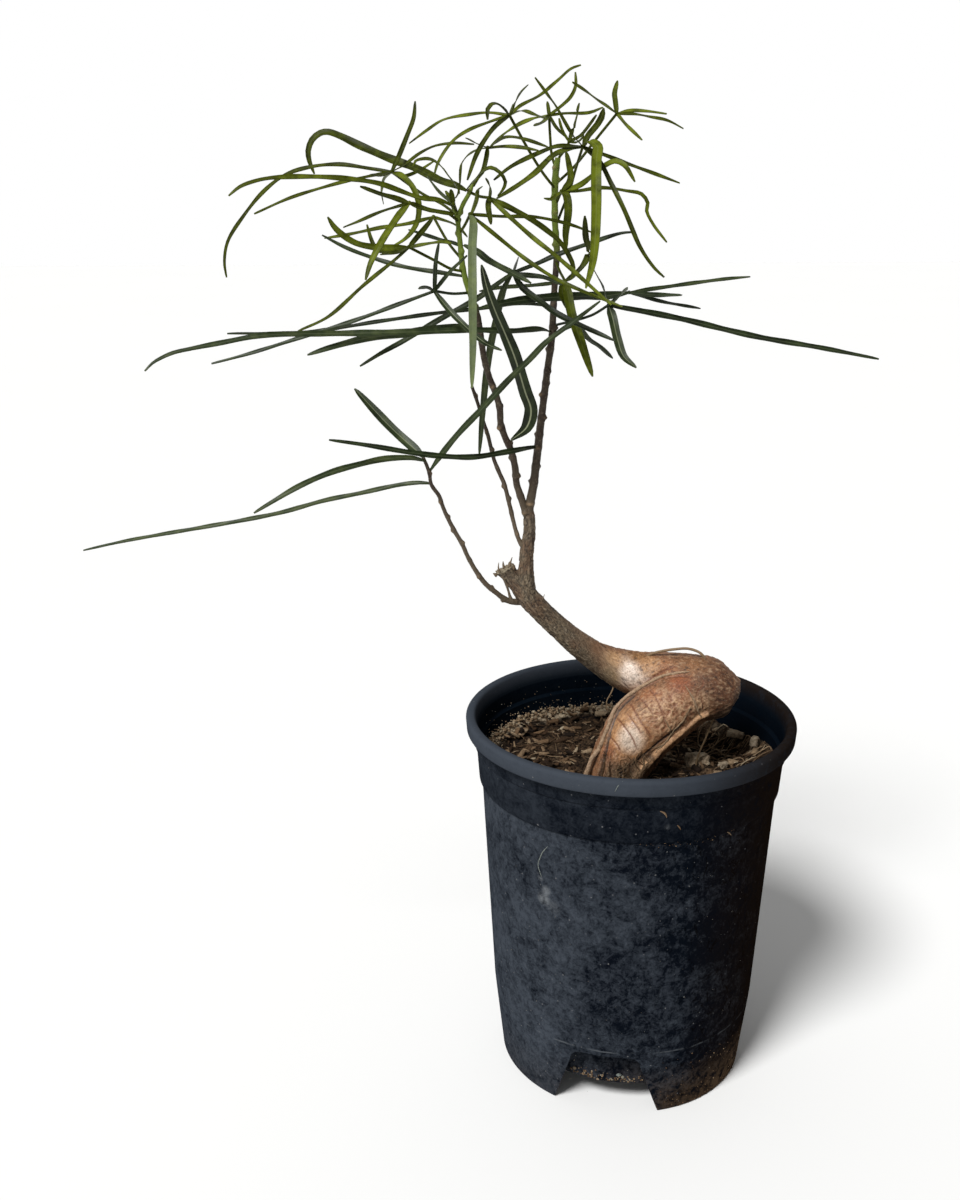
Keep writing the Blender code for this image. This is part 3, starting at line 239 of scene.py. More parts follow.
# Leaves: the stalk's points out of the stem, then each leaflet as its width and its points after the stalk's
# end, in whole or half millimetres. A leaf with one stalk point is a single blade.
LEAVES = {
    "leaf_low_up": ([(-103.5, -18, 334.5)], [
        (4.6, (-119.5, -8, 347), (-137.5, 2, 364.5))]),
    "leaf_low_front": ([(-103, -18, 333)], [
        (3, (-110, -26, 336), (-121.5, -31, 336.5), (-133, -36, 335), (-146, -43, 332.5),
         (-159, -50, 328), (-172.5, -55, 321), (-179, -58, 317.5))]),
    "leaf_low_long": ([(-100.5, -16, 321.5)], [
        (2.3, (-105.5, -14, 321.5), (-114, -12.5, 320.5), (-136, -8, 315), (-154, -4, 310.5),
         (-174.5, 0, 304), (-195, 4, 299), (-215.5, 6, 295), (-258.5, 13, 286), (-280.5, 16, 280.5))]),
    "leaf_low_cross": ([(-101, -17, 328)], [
        (3, (-97, -20, 334), (-88, -24, 346), (-77, -27, 358), (-63.5, -30, 373), (-54, -31.5, 382.5),
         (-47, -33, 390), (-36, -35, 398.5), (-23.5, -38, 408.5))]),
    "leaf_right_low": ([(-48, 6.5, 335)], [
        (2.9, (-53.5, 0, 335.5), (-64, -10, 335.5), (-80.5, -20, 335), (-95, -30, 337.5),
         (-107.5, -35, 340), (-130.5, -40, 345), (-145.5, -44, 348))]),
    "leaf_right_sweep": ([(-42.5, 11, 390)], [
        (3.2, (-47, 5, 392), (-61.5, -8, 392.5), (-82, -22, 394.5), (-100.5, -28, 394.5),
         (-119.5, -32, 394.5), (-139.5, -35, 394.5), (-158.5, -41, 395), (-173.5, -47, 395),
         (-190, -52, 392.5), (-202.5, -56, 390.5), (-210, -58, 389), (-215, -60, 387),
         (-218.5, -62, 385), (-221.5, -64, 382))]),
    "leaf_middle_droop": ([(-76.5, -11, 394)], [
        (4, (-86, -12, 394.5), (-100, -14, 394), (-113, -16, 392), (-127, -19, 391),
         (-139.5, -22, 388.5), (-147.5, -24, 386.5), (-156, -26, 384))]),
    "leaf_right_back": ([(-42.5, 13, 402)], [
        (2, (-50, 14, 403), (-61, 12, 403.5), (-71.5, 10, 402), (-94.5, 6, 400), (-123.5, 2, 396.5),
         (-158.5, -2, 392), (-195.5, -8, 392))]),
    "leaf_right_mid": ([(-40.5, 13, 413)], [
        (2, (-53.5, 10, 412), (-66, 7, 411.5), (-77, 4, 410))]),
    "fan_east": ([(-40.5, 13, 405.5), (-23.5, 16, 407.5), (-4.5, 18, 408)], [
        (4.8, (-17, 10, 407), (-29.5, 2, 407.5), (-45.5, -6, 407.5), (-61.5, -14, 406.5),
         (-77.5, -20, 404)),
        (2.1, (6, 24, 409), (43.5, 40, 412.5), (59.5, 46, 413.5)),
        (2.8, (7, 8, 407.5), (17.5, -6, 408.5)),
        (2, (6.5, 26, 404.5), (16, 32, 402), (35, 45, 398))]),
    "fan_reach": ([(-41, 12, 393), (-35, 11, 394.5), (-31, 10, 395.5), (-23, 6, 398.5), (-16, 0, 403.5)], [
        (4.2, (-14.5, -5, 398.5), (-12.5, -11, 389), (-10, -18, 381.5), (-4.5, -22, 377)),
        (3.2, (-0.5, 3, 400.5), (19, 6, 396.5), (56.5, 10, 387.5), (89.5, 14, 381.5), (119.5, 18, 375.5)),
        (2.4, (-10.5, -8, 409.5), (-9.5, -18, 413)),
        (2.2, (-19.5, -10, 412), (-25, -22, 421))]),
    "fan_under": ([(-40.5, 12, 389.5), (-35.5, 6, 392), (-31, 3, 394.5)], [
        (3.2, (-24, 10, 386.5), (-18.5, 15, 382.5), (-11, 22, 376))]),
    "fan_drop": ([(-40.5, 13, 423), (-39, 6, 419), (-37, -4, 415)], [
        (4.4, (-36, -9, 409.5), (-34, -15, 399.5), (-30, -20, 388), (-25, -26, 373.5)),
        (3.4, (-33, -8, 418), (-29.5, -13, 422.5), (-27, -17, 428.5), (-29, -21, 435), (-30, -26, 444.5)),
        (3.4, (-38.5, -8, 410.5), (-36.5, -9, 405), (-33.5, -6, 400))]),
    "fan_heart": ([(-40.5, 13, 426.5), (-50.5, 4, 422.5), (-61.5, -6, 419)], [
        (2.8, (-69, -4, 413.5), (-77.5, -4, 407.5), (-95.5, -7, 398), (-113.5, -11, 388),
         (-123.5, -14, 383), (-133, -16, 377.5)),
        (3.3, (-65.5, -3, 411.5), (-69, 2, 397), (-72.5, 6, 379.5), (-74.5, 9, 363.5), (-77.5, 14, 329.5)),
        (3, (-57, -12, 412.5), (-50, -18, 407.5), (-42, -24, 402), (-33.5, -28, 398), (-16.5, -36, 391)),
        (2.6, (-55, -18, 418.5), (-48.5, -22, 418), (-40.5, -34, 415.5)),
        (2.4, (-51, -10, 423), (-42, -12, 427), (-26.5, -16, 432.5), (-13, -21, 437), (-7.5, -22, 437.5)),
        (1.4, (-59.5, -20, 426.5))]),
    "leaf_middle_dark": ([(-84, -15, 432)], [
        (3.2, (-77.5, -22, 429), (-73.5, -27, 426), (-64, -37, 421.5), (-54.5, -46, 417))]),
    "leaf_middle_broad": ([(-62, -1, 339.5)], [
        (6.4, (-54.5, -5, 346.5), (-52.5, -6, 354.5), (-55.5, -9, 364), (-61, -17, 382),
         (-65.5, -20, 393), (-70, -25, 403.5), (-73.5, -29, 413.5), (-76, -33, 424))]),
    "fan_low_west": ([(-81.5, -13, 410.5), (-89.5, -18, 410.5), (-97.5, -22, 412)], [
        (2, (-112, -24, 407), (-133.5, -26, 399.5), (-160.5, -28.5, 391.5), (-181, -31, 385.5),
         (-199, -32, 381)),
        (1.8, (-97, -25, 418), (-96.5, -28, 425.5), (-95, -30, 433.5)),
        (1.8, (-93, -24, 417.5), (-89.5, -27, 421.5), (-82.5, -30, 428)),
        (2.8, (-101, -28, 414), (-104, -34, 414)),
        (2.8, (-90, -30, 403.5), (-82, -38, 396.5), (-74, -47, 391), (-67.5, -54, 389))]),
    "leaf_middle_west": ([(-84, -14, 418)], [
        (2.2, (-92, -10, 419), (-113, -4, 422), (-128, 2, 426), (-140, 3, 430.5), (-150.5, 4, 436))]),
    "leaf_middle_back": ([(-85.5, -14, 431.5)], [
        (1.8, (-90, -8, 433), (-95.5, -2, 434), (-103, 6, 436), (-110.5, 14, 438))]),
    "fan_west": ([(-83.5, -14, 420), (-90, -17, 421.5), (-96.5, -20, 425), (-108.5, -26, 431.5)], [
        (3.6, (-121, -33, 431.5), (-131.5, -39, 434), (-139, -44, 440), (-142, -46, 445)),
        (1.6, (-112.5, -38, 430), (-119.5, -50, 429.5)),
        (2, (-101.5, -36, 433), (-93, -46, 434.5), (-89, -50, 434)),
        (2.4, (-105, -22, 435.5), (-101.5, -18, 439.5), (-98, -12, 444)),
        (1.8, (-115, -22, 426), (-130.5, -18, 414), (-146.5, -16, 400.5), (-161.5, -14, 393.5)),
        (2, (-116.5, -22, 429.5), (-123.5, -17, 430), (-126, -14, 434), (-128, -12, 441))]),
    "fan_back_west": ([(-84.5, -15, 425), (-91, -10, 432.5), (-98, -4, 444)], [
        (2, (-110, 2, 441), (-123.5, 8, 439), (-141, 18, 435.5), (-151.5, 22, 434)),
        (1.8, (-89.5, 4, 441), (-86, 9, 438.5), (-82.5, 14, 434.5))]),
    "fan_crown": ([(-85.5, -15, 437.5), (-83, -22, 441.5), (-81, -26, 445.5)], [
        (3.4, (-79, -32, 450.5), (-77.5, -38, 455), (-75.5, -44, 457)),
        (1.7, (-67.5, -22, 444.5), (-51.5, -16, 444), (-37, -13, 441), (-25, -10, 437)),
        (1.8, (-67, -30, 434.5), (-55, -36, 425.5), (-41.5, -42, 417.5), (-15.5, -56, 407.5)),
        (3.6, (-79.5, -34, 442), (-80, -44, 433), (-80, -52, 419), (-80, -58, 390), (-80.5, -60, 373.5))]),
    "fan_northwest": ([(-86, -15, 442), (-91.5, -20, 446), (-99, -26, 447), (-107.5, -34, 450.5)], [
        (2.8, (-113.5, -37, 452.5), (-118.5, -42, 454), (-127.5, -48, 457.5)),
        (3, (-111.5, -38, 446), (-115, -44, 441), (-119, -52, 434.5), (-123.5, -57, 426),
         (-125.5, -60, 419.5)),
        (1.6, (-120, -26, 447), (-131.5, -20, 442.5), (-138.5, -16, 440)),
        (2.8, (-101, -29, 448), (-94.5, -24, 446.5), (-88, -19, 445.5))]),
    "leaf_north_hook": ([(-82.5, -17, 455.5)], [
        (4.4, (-87, -12, 457.5), (-95, -3, 460), (-106.5, 12, 465.5), (-119, 20, 470), (-133.5, 28, 476),
         (-143, 32, 480.5), (-149, 33, 482.5), (-153, 34, 482), (-157, 34, 479), (-159, 33, 474),
         (-158.5, 32, 469.5), (-156, 30, 463.5))]),
    "leaf_north_long": ([(-87.5, -16, 448.5)], [
        (2.6, (-94.5, -19, 451.5), (-103, -24, 452.5), (-111.5, -29, 455.5), (-120, -33, 458.5),
         (-128, -36, 460), (-146.5, -44, 461.5), (-165.5, -51, 461), (-172.5, -54, 459.5),
         (-177.5, -56, 457.5), (-182, -58, 454))]),
    "leaf_north_arch": ([(-87.5, -16, 452.5)], [
        (1.9, (-86, -21, 455), (-87, -27, 458), (-90, -36, 461.5), (-93.5, -44, 466), (-96.5, -48, 468),
         (-99.5, -52, 468.5), (-103.5, -56, 467.5), (-104.5, -58, 465.5))]),
    "leaf_north_curl": ([(-83, -18, 455.5)], [
        (1.8, (-79.5, -26, 459.5), (-76, -32, 463), (-72, -37, 465), (-68, -40, 463), (-65.5, -40, 459),
         (-67, -39, 455.5), (-69, -37, 453.5))]),
    "shoot_west": ([(-87, -14, 445.5), (-88.5, -20, 450)], [
        (2.4, (-89.5, -23, 456)),
        (1.4, (-94.5, -24, 455), (-99.5, -30, 461.5)),
        (1.6, (-92, -18, 455.5))]),
    "fan_far_west": ([(-86.5, -15, 444.5), (-93.5, -10, 449.5), (-103.5, -2, 454.5), (-117.5, 6, 464)], [
        (2.1, (-127.5, 9, 465.5), (-142.5, 14, 467.5), (-156.5, 19, 466.5), (-169, 22, 463),
         (-180, 24, 455.5), (-191, 27, 444), (-199.5, 28, 432), (-201.5, 28, 423), (-200.5, 26, 415.5)),
        (2.1, (-121.5, -4, 462.5), (-126, -14, 462.5)),
        (1.6, (-133, 0, 461), (-145.5, -4, 458), (-163.5, -10, 452.5), (-178.5, -16, 446)),
        (2.7, (-122, 20, 460.5), (-124, 28, 455.5), (-123.5, 36, 449.5)),
        (2.6, (-112, -2, 462), (-107, -7, 457), (-104.5, -10, 450.5), (-105, -9, 443), (-108, -7, 437.5),
         (-112.5, -4, 433.5), (-117.5, -2, 431)),
        (2.2, (-114, 12, 471.5), (-110.5, 19, 480.5), (-107.5, 26, 489), (-107, 30, 496)),
        (1.4, (-111, -1, 467), (-103.5, -5, 472), (-96.5, -7, 475), (-87.5, -8, 476), (-79, -8, 475.5)),
        (1.6, (-113.5, 14, 462), (-109, 18, 463), (-104, 22, 465.5), (-98.5, 26, 469))]),
    "fan_front": ([(-80.5, -18, 454.5), (-76.5, -26, 453), (-72.5, -32, 452.5)], [
        (2, (-72, -38, 456), (-72.5, -41, 458), (-74, -44, 460.5)),
        (2.4, (-73, -44, 448.5), (-72, -54, 442)),
        (2.8, (-63, -32, 448), (-54.5, -33, 443.5), (-47, -30, 438.5), (-41, -27, 433.5),
         (-36.5, -25, 427), (-34.5, -24, 422), (-35.5, -24, 417)),
        (2, (-62.5, -38, 443.5), (-52.5, -43, 435), (-44.5, -47, 429), (-28.5, -54, 415.5),
         (-20.5, -58, 408.5))]),
    "fan_top_west": ([(-79.5, -17, 457.5), (-77, -13, 461.5), (-74.5, -8, 466.5), (-73, -4, 474)], [
        (1.5, (-77.5, 4, 473.5), (-83, 14, 470.5), (-85.5, 19, 466.5), (-86, 22, 458.5)),
        (1.8, (-65.5, -8, 474.5), (-58.5, -11, 474), (-50.5, -16, 472.5)),
        (1.8, (-69.5, -10, 476), (-65.5, -16, 478), (-59, -24, 477.5), (-47.5, -36, 473.5)),
        (1.4, (-77.5, -14, 475.5), (-82.5, -26, 477.5)),
        (2, (-73.5, -8, 470), (-75.5, -10, 463.5), (-78.5, -9, 460), (-81.5, -8, 456))]),
    "fan_top": ([(-40.5, 14, 455.5), (-47.5, 8, 463.5), (-55.5, 4, 475.5), (-63, 0, 488)], [
        (2.6, (-61, -8, 492.5), (-58.5, -14, 496.5), (-55.5, -20, 499.5)),
        (1.5, (-58.5, 4, 492), (-48.5, 13, 497.5), (-40, 23, 504.5), (-33.5, 30, 510), (-28.5, 34, 512)),
        (2.2, (-65.5, -4, 490.5), (-69, -9, 492.5), (-71.5, -12, 492), (-73, -14, 490), (-73, -16, 485.5)),
        (1.6, (-72, 5, 489.5), (-81, 10, 489), (-93.5, 16, 487), (-101.5, 20, 482.5), (-110, 24, 477)),
        (1.5, (-72, -8, 485), (-81, -14, 481.5), (-88, -20, 477), (-92.5, -24, 471.5), (-95.5, -26, 466),
         (-96.5, -28, 462.5)),
        (2.1, (-69.5, -12, 483), (-74, -20, 477.5), (-78.5, -30, 469.5), (-82, -40, 460)),
        (1.7, (-57.5, -20, 489), (-52.5, -32, 486.5), (-48.5, -46, 484.5))]),
    "fan_top_back": ([(-40, 14, 463.5), (-42.5, 18, 470.5), (-43.5, 20, 480.5), (-44, 20, 489)], [
        (1.6, (-44.5, 28, 495.5)),
        (2.4, (-51, 32, 488), (-56, 36, 486.5), (-61, 40, 484), (-65.5, 45, 481), (-71.5, 50, 476)),
        (2, (-40.5, 25, 484), (-34.5, 30, 479)),
        (1.8, (-47.5, 8, 485.5), (-52, -4, 483.5)),
        (1.6, (-36.5, 24, 490), (-24.5, 28, 490.5), (-18, 30, 493)),
        (1.6, (-38.5, 24, 493), (-33.5, 28, 497.5), (-31, 32, 502.5), (-31, 36, 509))]),
    "shoot_tip": ([(-39.5, 14, 470), (-36.5, 12, 474), (-35, 10, 477)], [
        (2, (-33.5, 6, 483.5), (-32.5, 1, 488.5), (-31.5, -2, 493)),
        (1.5, (-30, 12, 479.5), (-25.5, 15, 484.5), (-22, 18, 489)),
        (1.4, (-37.5, 10, 480.5), (-39, 9, 483.5), (-40, 8, 487)),
        (1.4, (-32, 6, 476.5), (-29, 4, 479), (-29, 2, 481.5))]),
    "fan_northeast": ([(-40.5, 14, 439.5), (-37.5, 18, 446.5), (-33.5, 22, 456), (-32, 14, 463.5),
        (-29.5, 0, 474.5)], [
        (1.6, (-35.5, -10, 480), (-43, -17, 491), (-47, -22, 495.5), (-52.5, -26, 502)),
        (3.6, (-27, -4, 479.5), (-24, -6, 483), (-22, -8, 486.5), (-21, -8, 490.5)),
        (4.5, (-27, -8, 476.5), (-24, -14, 474), (-25, -22, 468.5), (-25.5, -28, 460),
         (-25.5, -32, 447.5), (-26, -35, 435), (-27, -36, 424.5), (-30, -38, 414)),
        (2.1, (-20, 0, 471), (-8, 6, 467), (4, 10, 463), (17.5, 14, 458.5)),
        (2.1, (-22.5, -12, 467.5), (-18, -18, 458.5), (-12.5, -26, 447), (-5.5, -32, 431), (1, -35, 422),
         (5, -36, 418.5)),
        (2.2, (-36, -10, 474.5), (-43, -17, 474), (-50, -23, 471.5), (-63, -29, 465.5), (-70.5, -34, 460)),
        (2.6, (-37, -12, 473), (-44.5, -24, 470), (-53, -37, 462.5), (-61.5, -47, 457),
         (-69.5, -56, 452.5))]),
    "fan_east_top": ([(-40.5, 14, 458.5), (-31.5, 20, 466.5), (-21.5, 22, 478.5), (-12.5, 18, 489.5)], [
        (2.4, (-13, 22, 495.5), (-13, 27, 499), (-11, 34, 505)),
        (2.4, (-18, 12, 492.5), (-22.5, 6, 494.5), (-28.5, -1, 498), (-35, -6, 501.5)),
        (1.7, (-8, 14, 490.5), (-0.5, 8, 490), (8.5, 2, 488.5)),
        (1.6, (-4, 22, 489.5), (4, 28, 488.5), (13.5, 33, 487), (21.5, 36, 483.5)),
        (1.6, (-9, 4, 483.5), (-3.5, -8, 477))]),
    "fan_east_mid": ([(-40.5, 14, 449.5), (-38.5, 8, 455)], [
        (2.9, (-31.5, 4, 457), (-27.5, 2, 459.5), (-23, -2, 463.5), (-19, -4, 466.5), (-15, -6, 468),
         (-11, -9, 466), (-6.5, -12, 459)),
        (1.8, (-32, 10, 455), (-19, 12, 456.5), (-7, 14, 455), (0, 16, 453.5), (3, 16, 449.5),
         (2.5, 15, 446), (6, 15, 439.5), (12.5, 14, 431.5)),
        (1.6, (-42, 3, 452.5), (-44, 0, 451.5), (-47, -4, 452)),
        (3.6, (-36.5, -2, 452.5), (-36, -4, 446.5), (-37, -4, 435.5), (-36.5, -4, 429.5)),
        (3, (-34.5, 6, 460), (-35.5, 4, 467), (-37, 2, 472.5))]),
}

# The trunk's cut: its place in millimetres from the axis, the way that it faces and its half width
CUT_PLACE = Vector((-65.5, 7, 272.5))
CUT_FACE = Vector((-0.47, 0.0, 0.88)).normalized()
CUT_HALF = 5.8
CUT_REACH = 0.010
CUT_WOOD = Vector((0.30, 0.25, 0.165))
# The keel that runs from the soil up the right side of the front limb
LOW_KEEL = ((-4, -25, 160, 2), (-1.5, -26, 166, 2), (1.5, -26, 172, 2), (5, -25.5, 177, 2), (9, -24, 181, 2),
            (13, -23, 185, 1.9), (17.5, -21.5, 188.5, 1.8), (22, -19.5, 191.5, 1.7), (27.5, -17, 195, 1.6),
            (32.5, -15, 198.5, 1.4), (38.5, -13.5, 201, 1.2))
# Cords of root on the caudex's skin: shade, length that stands free of it, (x, y, z, radius), in millimetres
CORDS = (
    (0.94, 26, ((-27, -16.5, 160, 1.4), (-25, -19, 166, 1.4), (-23, -19, 171.5, 1.3), (-21, -18, 177.5, 1.2),
        (-18.5, -17, 184.5, 1.2), (-16, -15.5, 190, 1.1), (-13, -13.5, 195.5, 1.1), (-10, -10.5, 199.5, 1.1),
        (-6.5, -8.5, 204, 1), (-2.5, -7.5, 207.5, 1), (2.5, -6.5, 211, 1), (7, -5.5, 213.5, 0.9),
        (11, -5, 215.5, 0.9), (16, -4.5, 218, 0.8), (21, -5.5, 220, 0.7), (25, -6.5, 221, 0.6),
        (29, -7.5, 221.5, 0.3))),
    (0.90, 0, ((26, -12.5, 216, 0.2), (29.5, -15.5, 210.5, 0.5), (32, -16, 205, 0.5), (34.5, -14, 199, 0.3))),
    (0.85, 0, ((28.5, -17.5, 206.5, 0.2), (25, -19.5, 200, 0.4), (20, -21.5, 195, 0.4),
        (15.5, -22.5, 189, 0.4), (11, -24.5, 184, 0.2))),
    (0.80, 0, ((15, -22.5, 202, 0.2), (17, -22, 197, 0.3), (18, -21.5, 192, 0.3), (14, -23, 188, 0.3),
        (8, -25, 187, 0.2))),
    (0.45, 0, ((-17, -22, 184, 0.3), (-16.5, -23, 179, 0.5), (-17, -23.5, 173, 0.6), (-17, -24, 167, 0.6))),
    (0.35, 0, ((-13, -25, 180, 0.2), (-12, -26, 174, 0.5), (-13, -26, 167, 0.5))),
)
CORD_SEED = 2

# Colours of the lines on the caudex's skin: reddish grooves, painted shade for the gaps, and a pale ridge
# that also carries a painted highlight
GROOVE = (0.16, 0.065, 0.035)
GAP_SHADE = (0.016, 0.008, 0.005)
# Pale bark of the keel's ridge, brightened as a painted highlight along it
RIDGE_WITH_HIGHLIGHT = (0.50, 0.36, 0.26)
# Lines on the caudex's skin: lift and half width in millimetres, colour, then points that it runs past. The
# ridge runs over the low keel
SKIN_LINES = (
    # Painted shade in the gap beside the keel cord, over a groove
    (-1.6, 0.9, GAP_SHADE, ((-19, -24, 168), (-18, -24, 173.5), (-17, -22.5, 179.5), (-15.5, -21, 184.5),
        (-13.5, -17.5, 191), (-10, -13.5, 197.5), (-6, -11, 202), (-1, -9.5, 206.5), (3, -8, 209.5))),
    (-0.8, 0.4, GROOVE, ((3, -8, 209.5), (7.5, -7, 212), (12, -6.5, 214.5), (17, -6, 216.5), (22, -7, 218.5),
        (27, -8.5, 219.5), (31, -11, 218))),
    (-0.8, 0.6, GROOVE, ((-8, -6, 204.5), (-3, -5, 209), (3, -4, 212.5), (8, -3, 215.5), (13, -2.5, 218),
        (18, -2, 220.5), (24, -2.5, 222.5))),
    (0.0, 2.0, RIDGE_WITH_HIGHLIGHT, LOW_KEEL[2:]),
    # Painted shade between the bulb and the low keel, over a groove
    (-0.8, 0.7, GAP_SHADE, ((-2, -28, 177), (3, -27, 182), (8, -25.5, 186.5), (13, -24, 190.5), (19, -22, 194),
        (26, -19, 198.5))),
    (-0.5, 0.42, GROOVE, ((-3, -11.5, 206.5), (-1, -14, 206), (1, -19, 203.5), (3.5, -23.5, 200),
        (7, -25.5, 195.5), (9, -26, 191))),
    (-0.5, 0.42, GROOVE, ((-9.5, -14, 199.5), (-7.5, -17, 199), (-4.5, -22.5, 196.5), (-1, -26, 192),
        (1, -27, 187))),
    (-0.4, 0.4, GROOVE, ((8.5, -10.5, 212), (9.5, -12.5, 212.5), (12, -18, 209), (14.5, -22, 202.5),
        (15.5, -24, 197))),
    (-0.4, 0.4, GROOVE, ((-14.5, -16, 191), (-12, -21, 190.5), (-9, -25, 188), (-7, -27, 184))),
    (-0.3, 0.35, GROOVE, ((-3.5, -17, 203), (-1, -21.5, 200.5), (2, -25, 197), (4, -26, 193.5))),
    (-0.3, 0.35, GROOVE, ((1, -9.5, 209), (4, -15, 209.5), (7, -19, 206.5), (10, -22, 203))),
    (-0.4, 0.35, GROOVE, ((34.5, -9.5, 220), (35.5, -12, 216.5), (32.5, -13.5, 213), (31, -15.5, 209))),
    (-0.4, 0.35, GROOVE, ((34, -14, 213), (35, -14.5, 207), (36, -14, 201))),
)
SKIN_REACH = 0.0032
# Patches of the caudex's skin: centre and reach in millimetres, colour, and gloss from 0 to 1. Some are
# painted highlights or painted shade, as marked
SKIN_TONES = (
    ((-4, -23, 194), 17, (0.42, 0.27, 0.165), 1.0),
    # Painted highlight on the front limb
    ((-2, -25, 192), 9, (0.66, 0.66, 0.74), 1.0),
    ((-14, -22, 184), 6.5, (0.25, 0.115, 0.06), 0.7),
    ((-15, -17, 190), 6, (0.29, 0.175, 0.10), 0.6),
    ((19, -21, 203), 17, (0.24, 0.105, 0.055), 0.75),
    ((24, -11, 216), 9, (0.25, 0.095, 0.045), 0.7),
    ((9, -14, 211), 7, (0.30, 0.145, 0.078), 0.7),
    ((44, -8, 212), 19, (0.105, 0.048, 0.021), 0.35),
    # Painted shade on the dome's right side and underside
    ((53, -3, 202), 14, (0.06, 0.035, 0.02), 0.15),
    ((46, -8, 198), 9, (0.065, 0.038, 0.022), 0.1),
    ((30, -3, 226), 12, (0.21, 0.115, 0.058), 0.5),
    ((17, -2, 221), 8, (0.27, 0.14, 0.075), 0.6),
    # Painted highlight on the rear limb
    ((0, 1, 219), 12, (0.64, 0.66, 0.78), 1.0),
    ((-8, 5, 224), 8, (0.40, 0.29, 0.20), 0.9),
    ((-10, 6, 214), 8, (0.36, 0.28, 0.19), 0.5),
    ((9, 2, 222), 8, (0.38, 0.25, 0.155), 0.8),
    ((4, 7, 227), 8, (0.27, 0.155, 0.06), 0.5),
    ((-4, -26, 168), 16, (0.105, 0.080, 0.056), 0.0),
    ((10, -23, 180), 8, (0.06, 0.042, 0.027), 0.0),
)
# Tint over the bark of the caudex, and over that of the trunk
CAUDEX_TINT = Vector((1.0, 0.79, 0.55))
TRUNK_TINT = Vector((1.0, 0.98, 0.84))
RED_BARK = Vector((0.12, 0.055, 0.026))
# Fine grain of the bark: its pits and its crests
BARK_PIT = (0.34, 0.27, 0.22)
BARK_CREST = (0.62, 0.50, 0.36)
# Start of the noise that warps the grain, which would otherwise come from the clock
WARP_SEED = 7
VEIN_SIZES = (0.0028, 0.0015)
FLECK_SIZE = 0.0013
FLAKE_SIZE = 0.0011
STREAK_SIZE = 0.0014
# Kinds of skin: centres and reaches, in millimetres
SKIN_ZONES = {
    "net": (((18, -21, 203), 17), ((8, -21, 205), 9), ((32, -15, 205), 10)),
    "smooth": (((-5, -22, 194), 15), ((24, -10, 216), 8), ((0, 1, 219), 6)),
    "fibrous": (((-4, -27, 170), 17), ((12, -23, 177), 9)),
}
# Splinters and flaps of bark at the trunk's cut, as the wood
SPLINTERS = (
    ((-69, 5.5, 269, 1), (-70, 5, 270, 0.6), (-70.8, 5, 270.3, 0.2)),
    ((-67.5, 5, 271, 0.8), (-68, 5, 273.5, 0.4), (-67.8, 5, 276, 0.15)),
    ((-62.5, 6, 273, 0.9), (-61.8, 6, 276, 0.5), (-61, 6, 278.5, 0.15)),
    ((-60.5, 6, 272, 0.9), (-60, 5.5, 274, 0.6), (-60.5, 5, 275, 0.2)),
    ((-65, 10, 271.5, 0.8), (-65.5, 11.5, 273.5, 0.5), (-65.5, 12.5, 274.5, 0.2)),
    ((-46, 5, 256, 0.4), (-45, 5.5, 257.5, 0.25), (-44.5, 5.5, 259, 0.1)),
)
# Marks on the pot: shade, then angle about the axis in degrees, height and radius in millimetres
POT_MARKS = (
    (1.0, ((-126.3, 151.5, 0.1), (-128.6, 147.5, 0.25), (-130, 143.5, 0.25), (-131, 139, 0.2),
           (-130.3, 135.5, 0.2), (-129.4, 133, 0.1))),
    (0.72, ((-85.6, 179, 0.2), (-84.2, 178, 0.5), (-83.4, 176.5, 0.4), (-83.2, 175.3, 0.2))),
    (0.62, ((-79.2, 170.8, 0.2), (-78.4, 169.5, 0.4), (-77.9, 168.2, 0.2))),
    (0.75, ((-58.2, 161.2, 0.3), (-56.8, 159.8, 0.4), (-55.5, 158, 0.2))),
    (1.0, ((-98.4, 196.2, 0.1), (-99.8, 194, 0.2), (-100.7, 191, 0.1))),
)
# Crumbs stuck on the pot: how many, their angles in degrees, their heights and how much they gather at the
# lowest, their sizes and reach past the wall in millimetres, and their shades
POT_CRUMBS = (
    (34, (-92, -52), (158.6, 161.2), 1, (0.1, 0.35), 0.1, (0.35, 0.8)),
    (150, (-78, -22), (0.5, 34), 2.2, (0.1, 0.4), 0.0, (0.35, 0.85)),
    (60, (-150, -20), (4, 150), 1, (0.1, 0.2), 0.0, (0.9, 1.0)),
)
# Larger chips on the recess's inner wall: angle in degrees, height and size in millimetres, shade
RECESS_CHIPS = ((-120, 16.5, 1.4, 0.9), (-96.5, 17.5, 1.5, 1.0), (-94.5, 16.4, 1.1, 0.95))
RECESS_CRUMBS = 110
INNER_CRUMBS = 70
# Pale smudges on the pot: centre and reach in millimetres, strength
POT_SMUDGES = (((-47, -58.5, 121), 4.5, 0.9), ((-45.5, -59, 126), 3.5, 0.7), ((-48, -57, 132), 2.0, 0.6),
               ((-42, -61, 118), 5.0, 0.35), ((10, -78.5, 170), 2.0, 0.3))

# Leaves in the brighter green of the young shoots
YOUNG_LEAVES = (
    "fan_drop", "fan_crown", "fan_northwest", "leaf_north_hook", "leaf_north_long", "leaf_north_arch",
    "fan_far_west", "fan_front", "fan_top_west", "fan_top", "fan_top_back", "shoot_tip", "fan_northeast",
    "fan_east_top", "fan_east_mid", "fan_west", "leaf_north_curl", "shoot_west", "fan_back_west",
)
MATURE_BRIGHT = (0.046, 0.060, 0.020)
YOUNG_BRIGHT = (0.110, 0.136, 0.009)
YOUNG_UNDER = (0.065, 0.080, 0.012)
YOUNG_RIB = (0.20, 0.22, 0.09)
LEAF_BLOOM = (0.17, 0.21, 0.13)
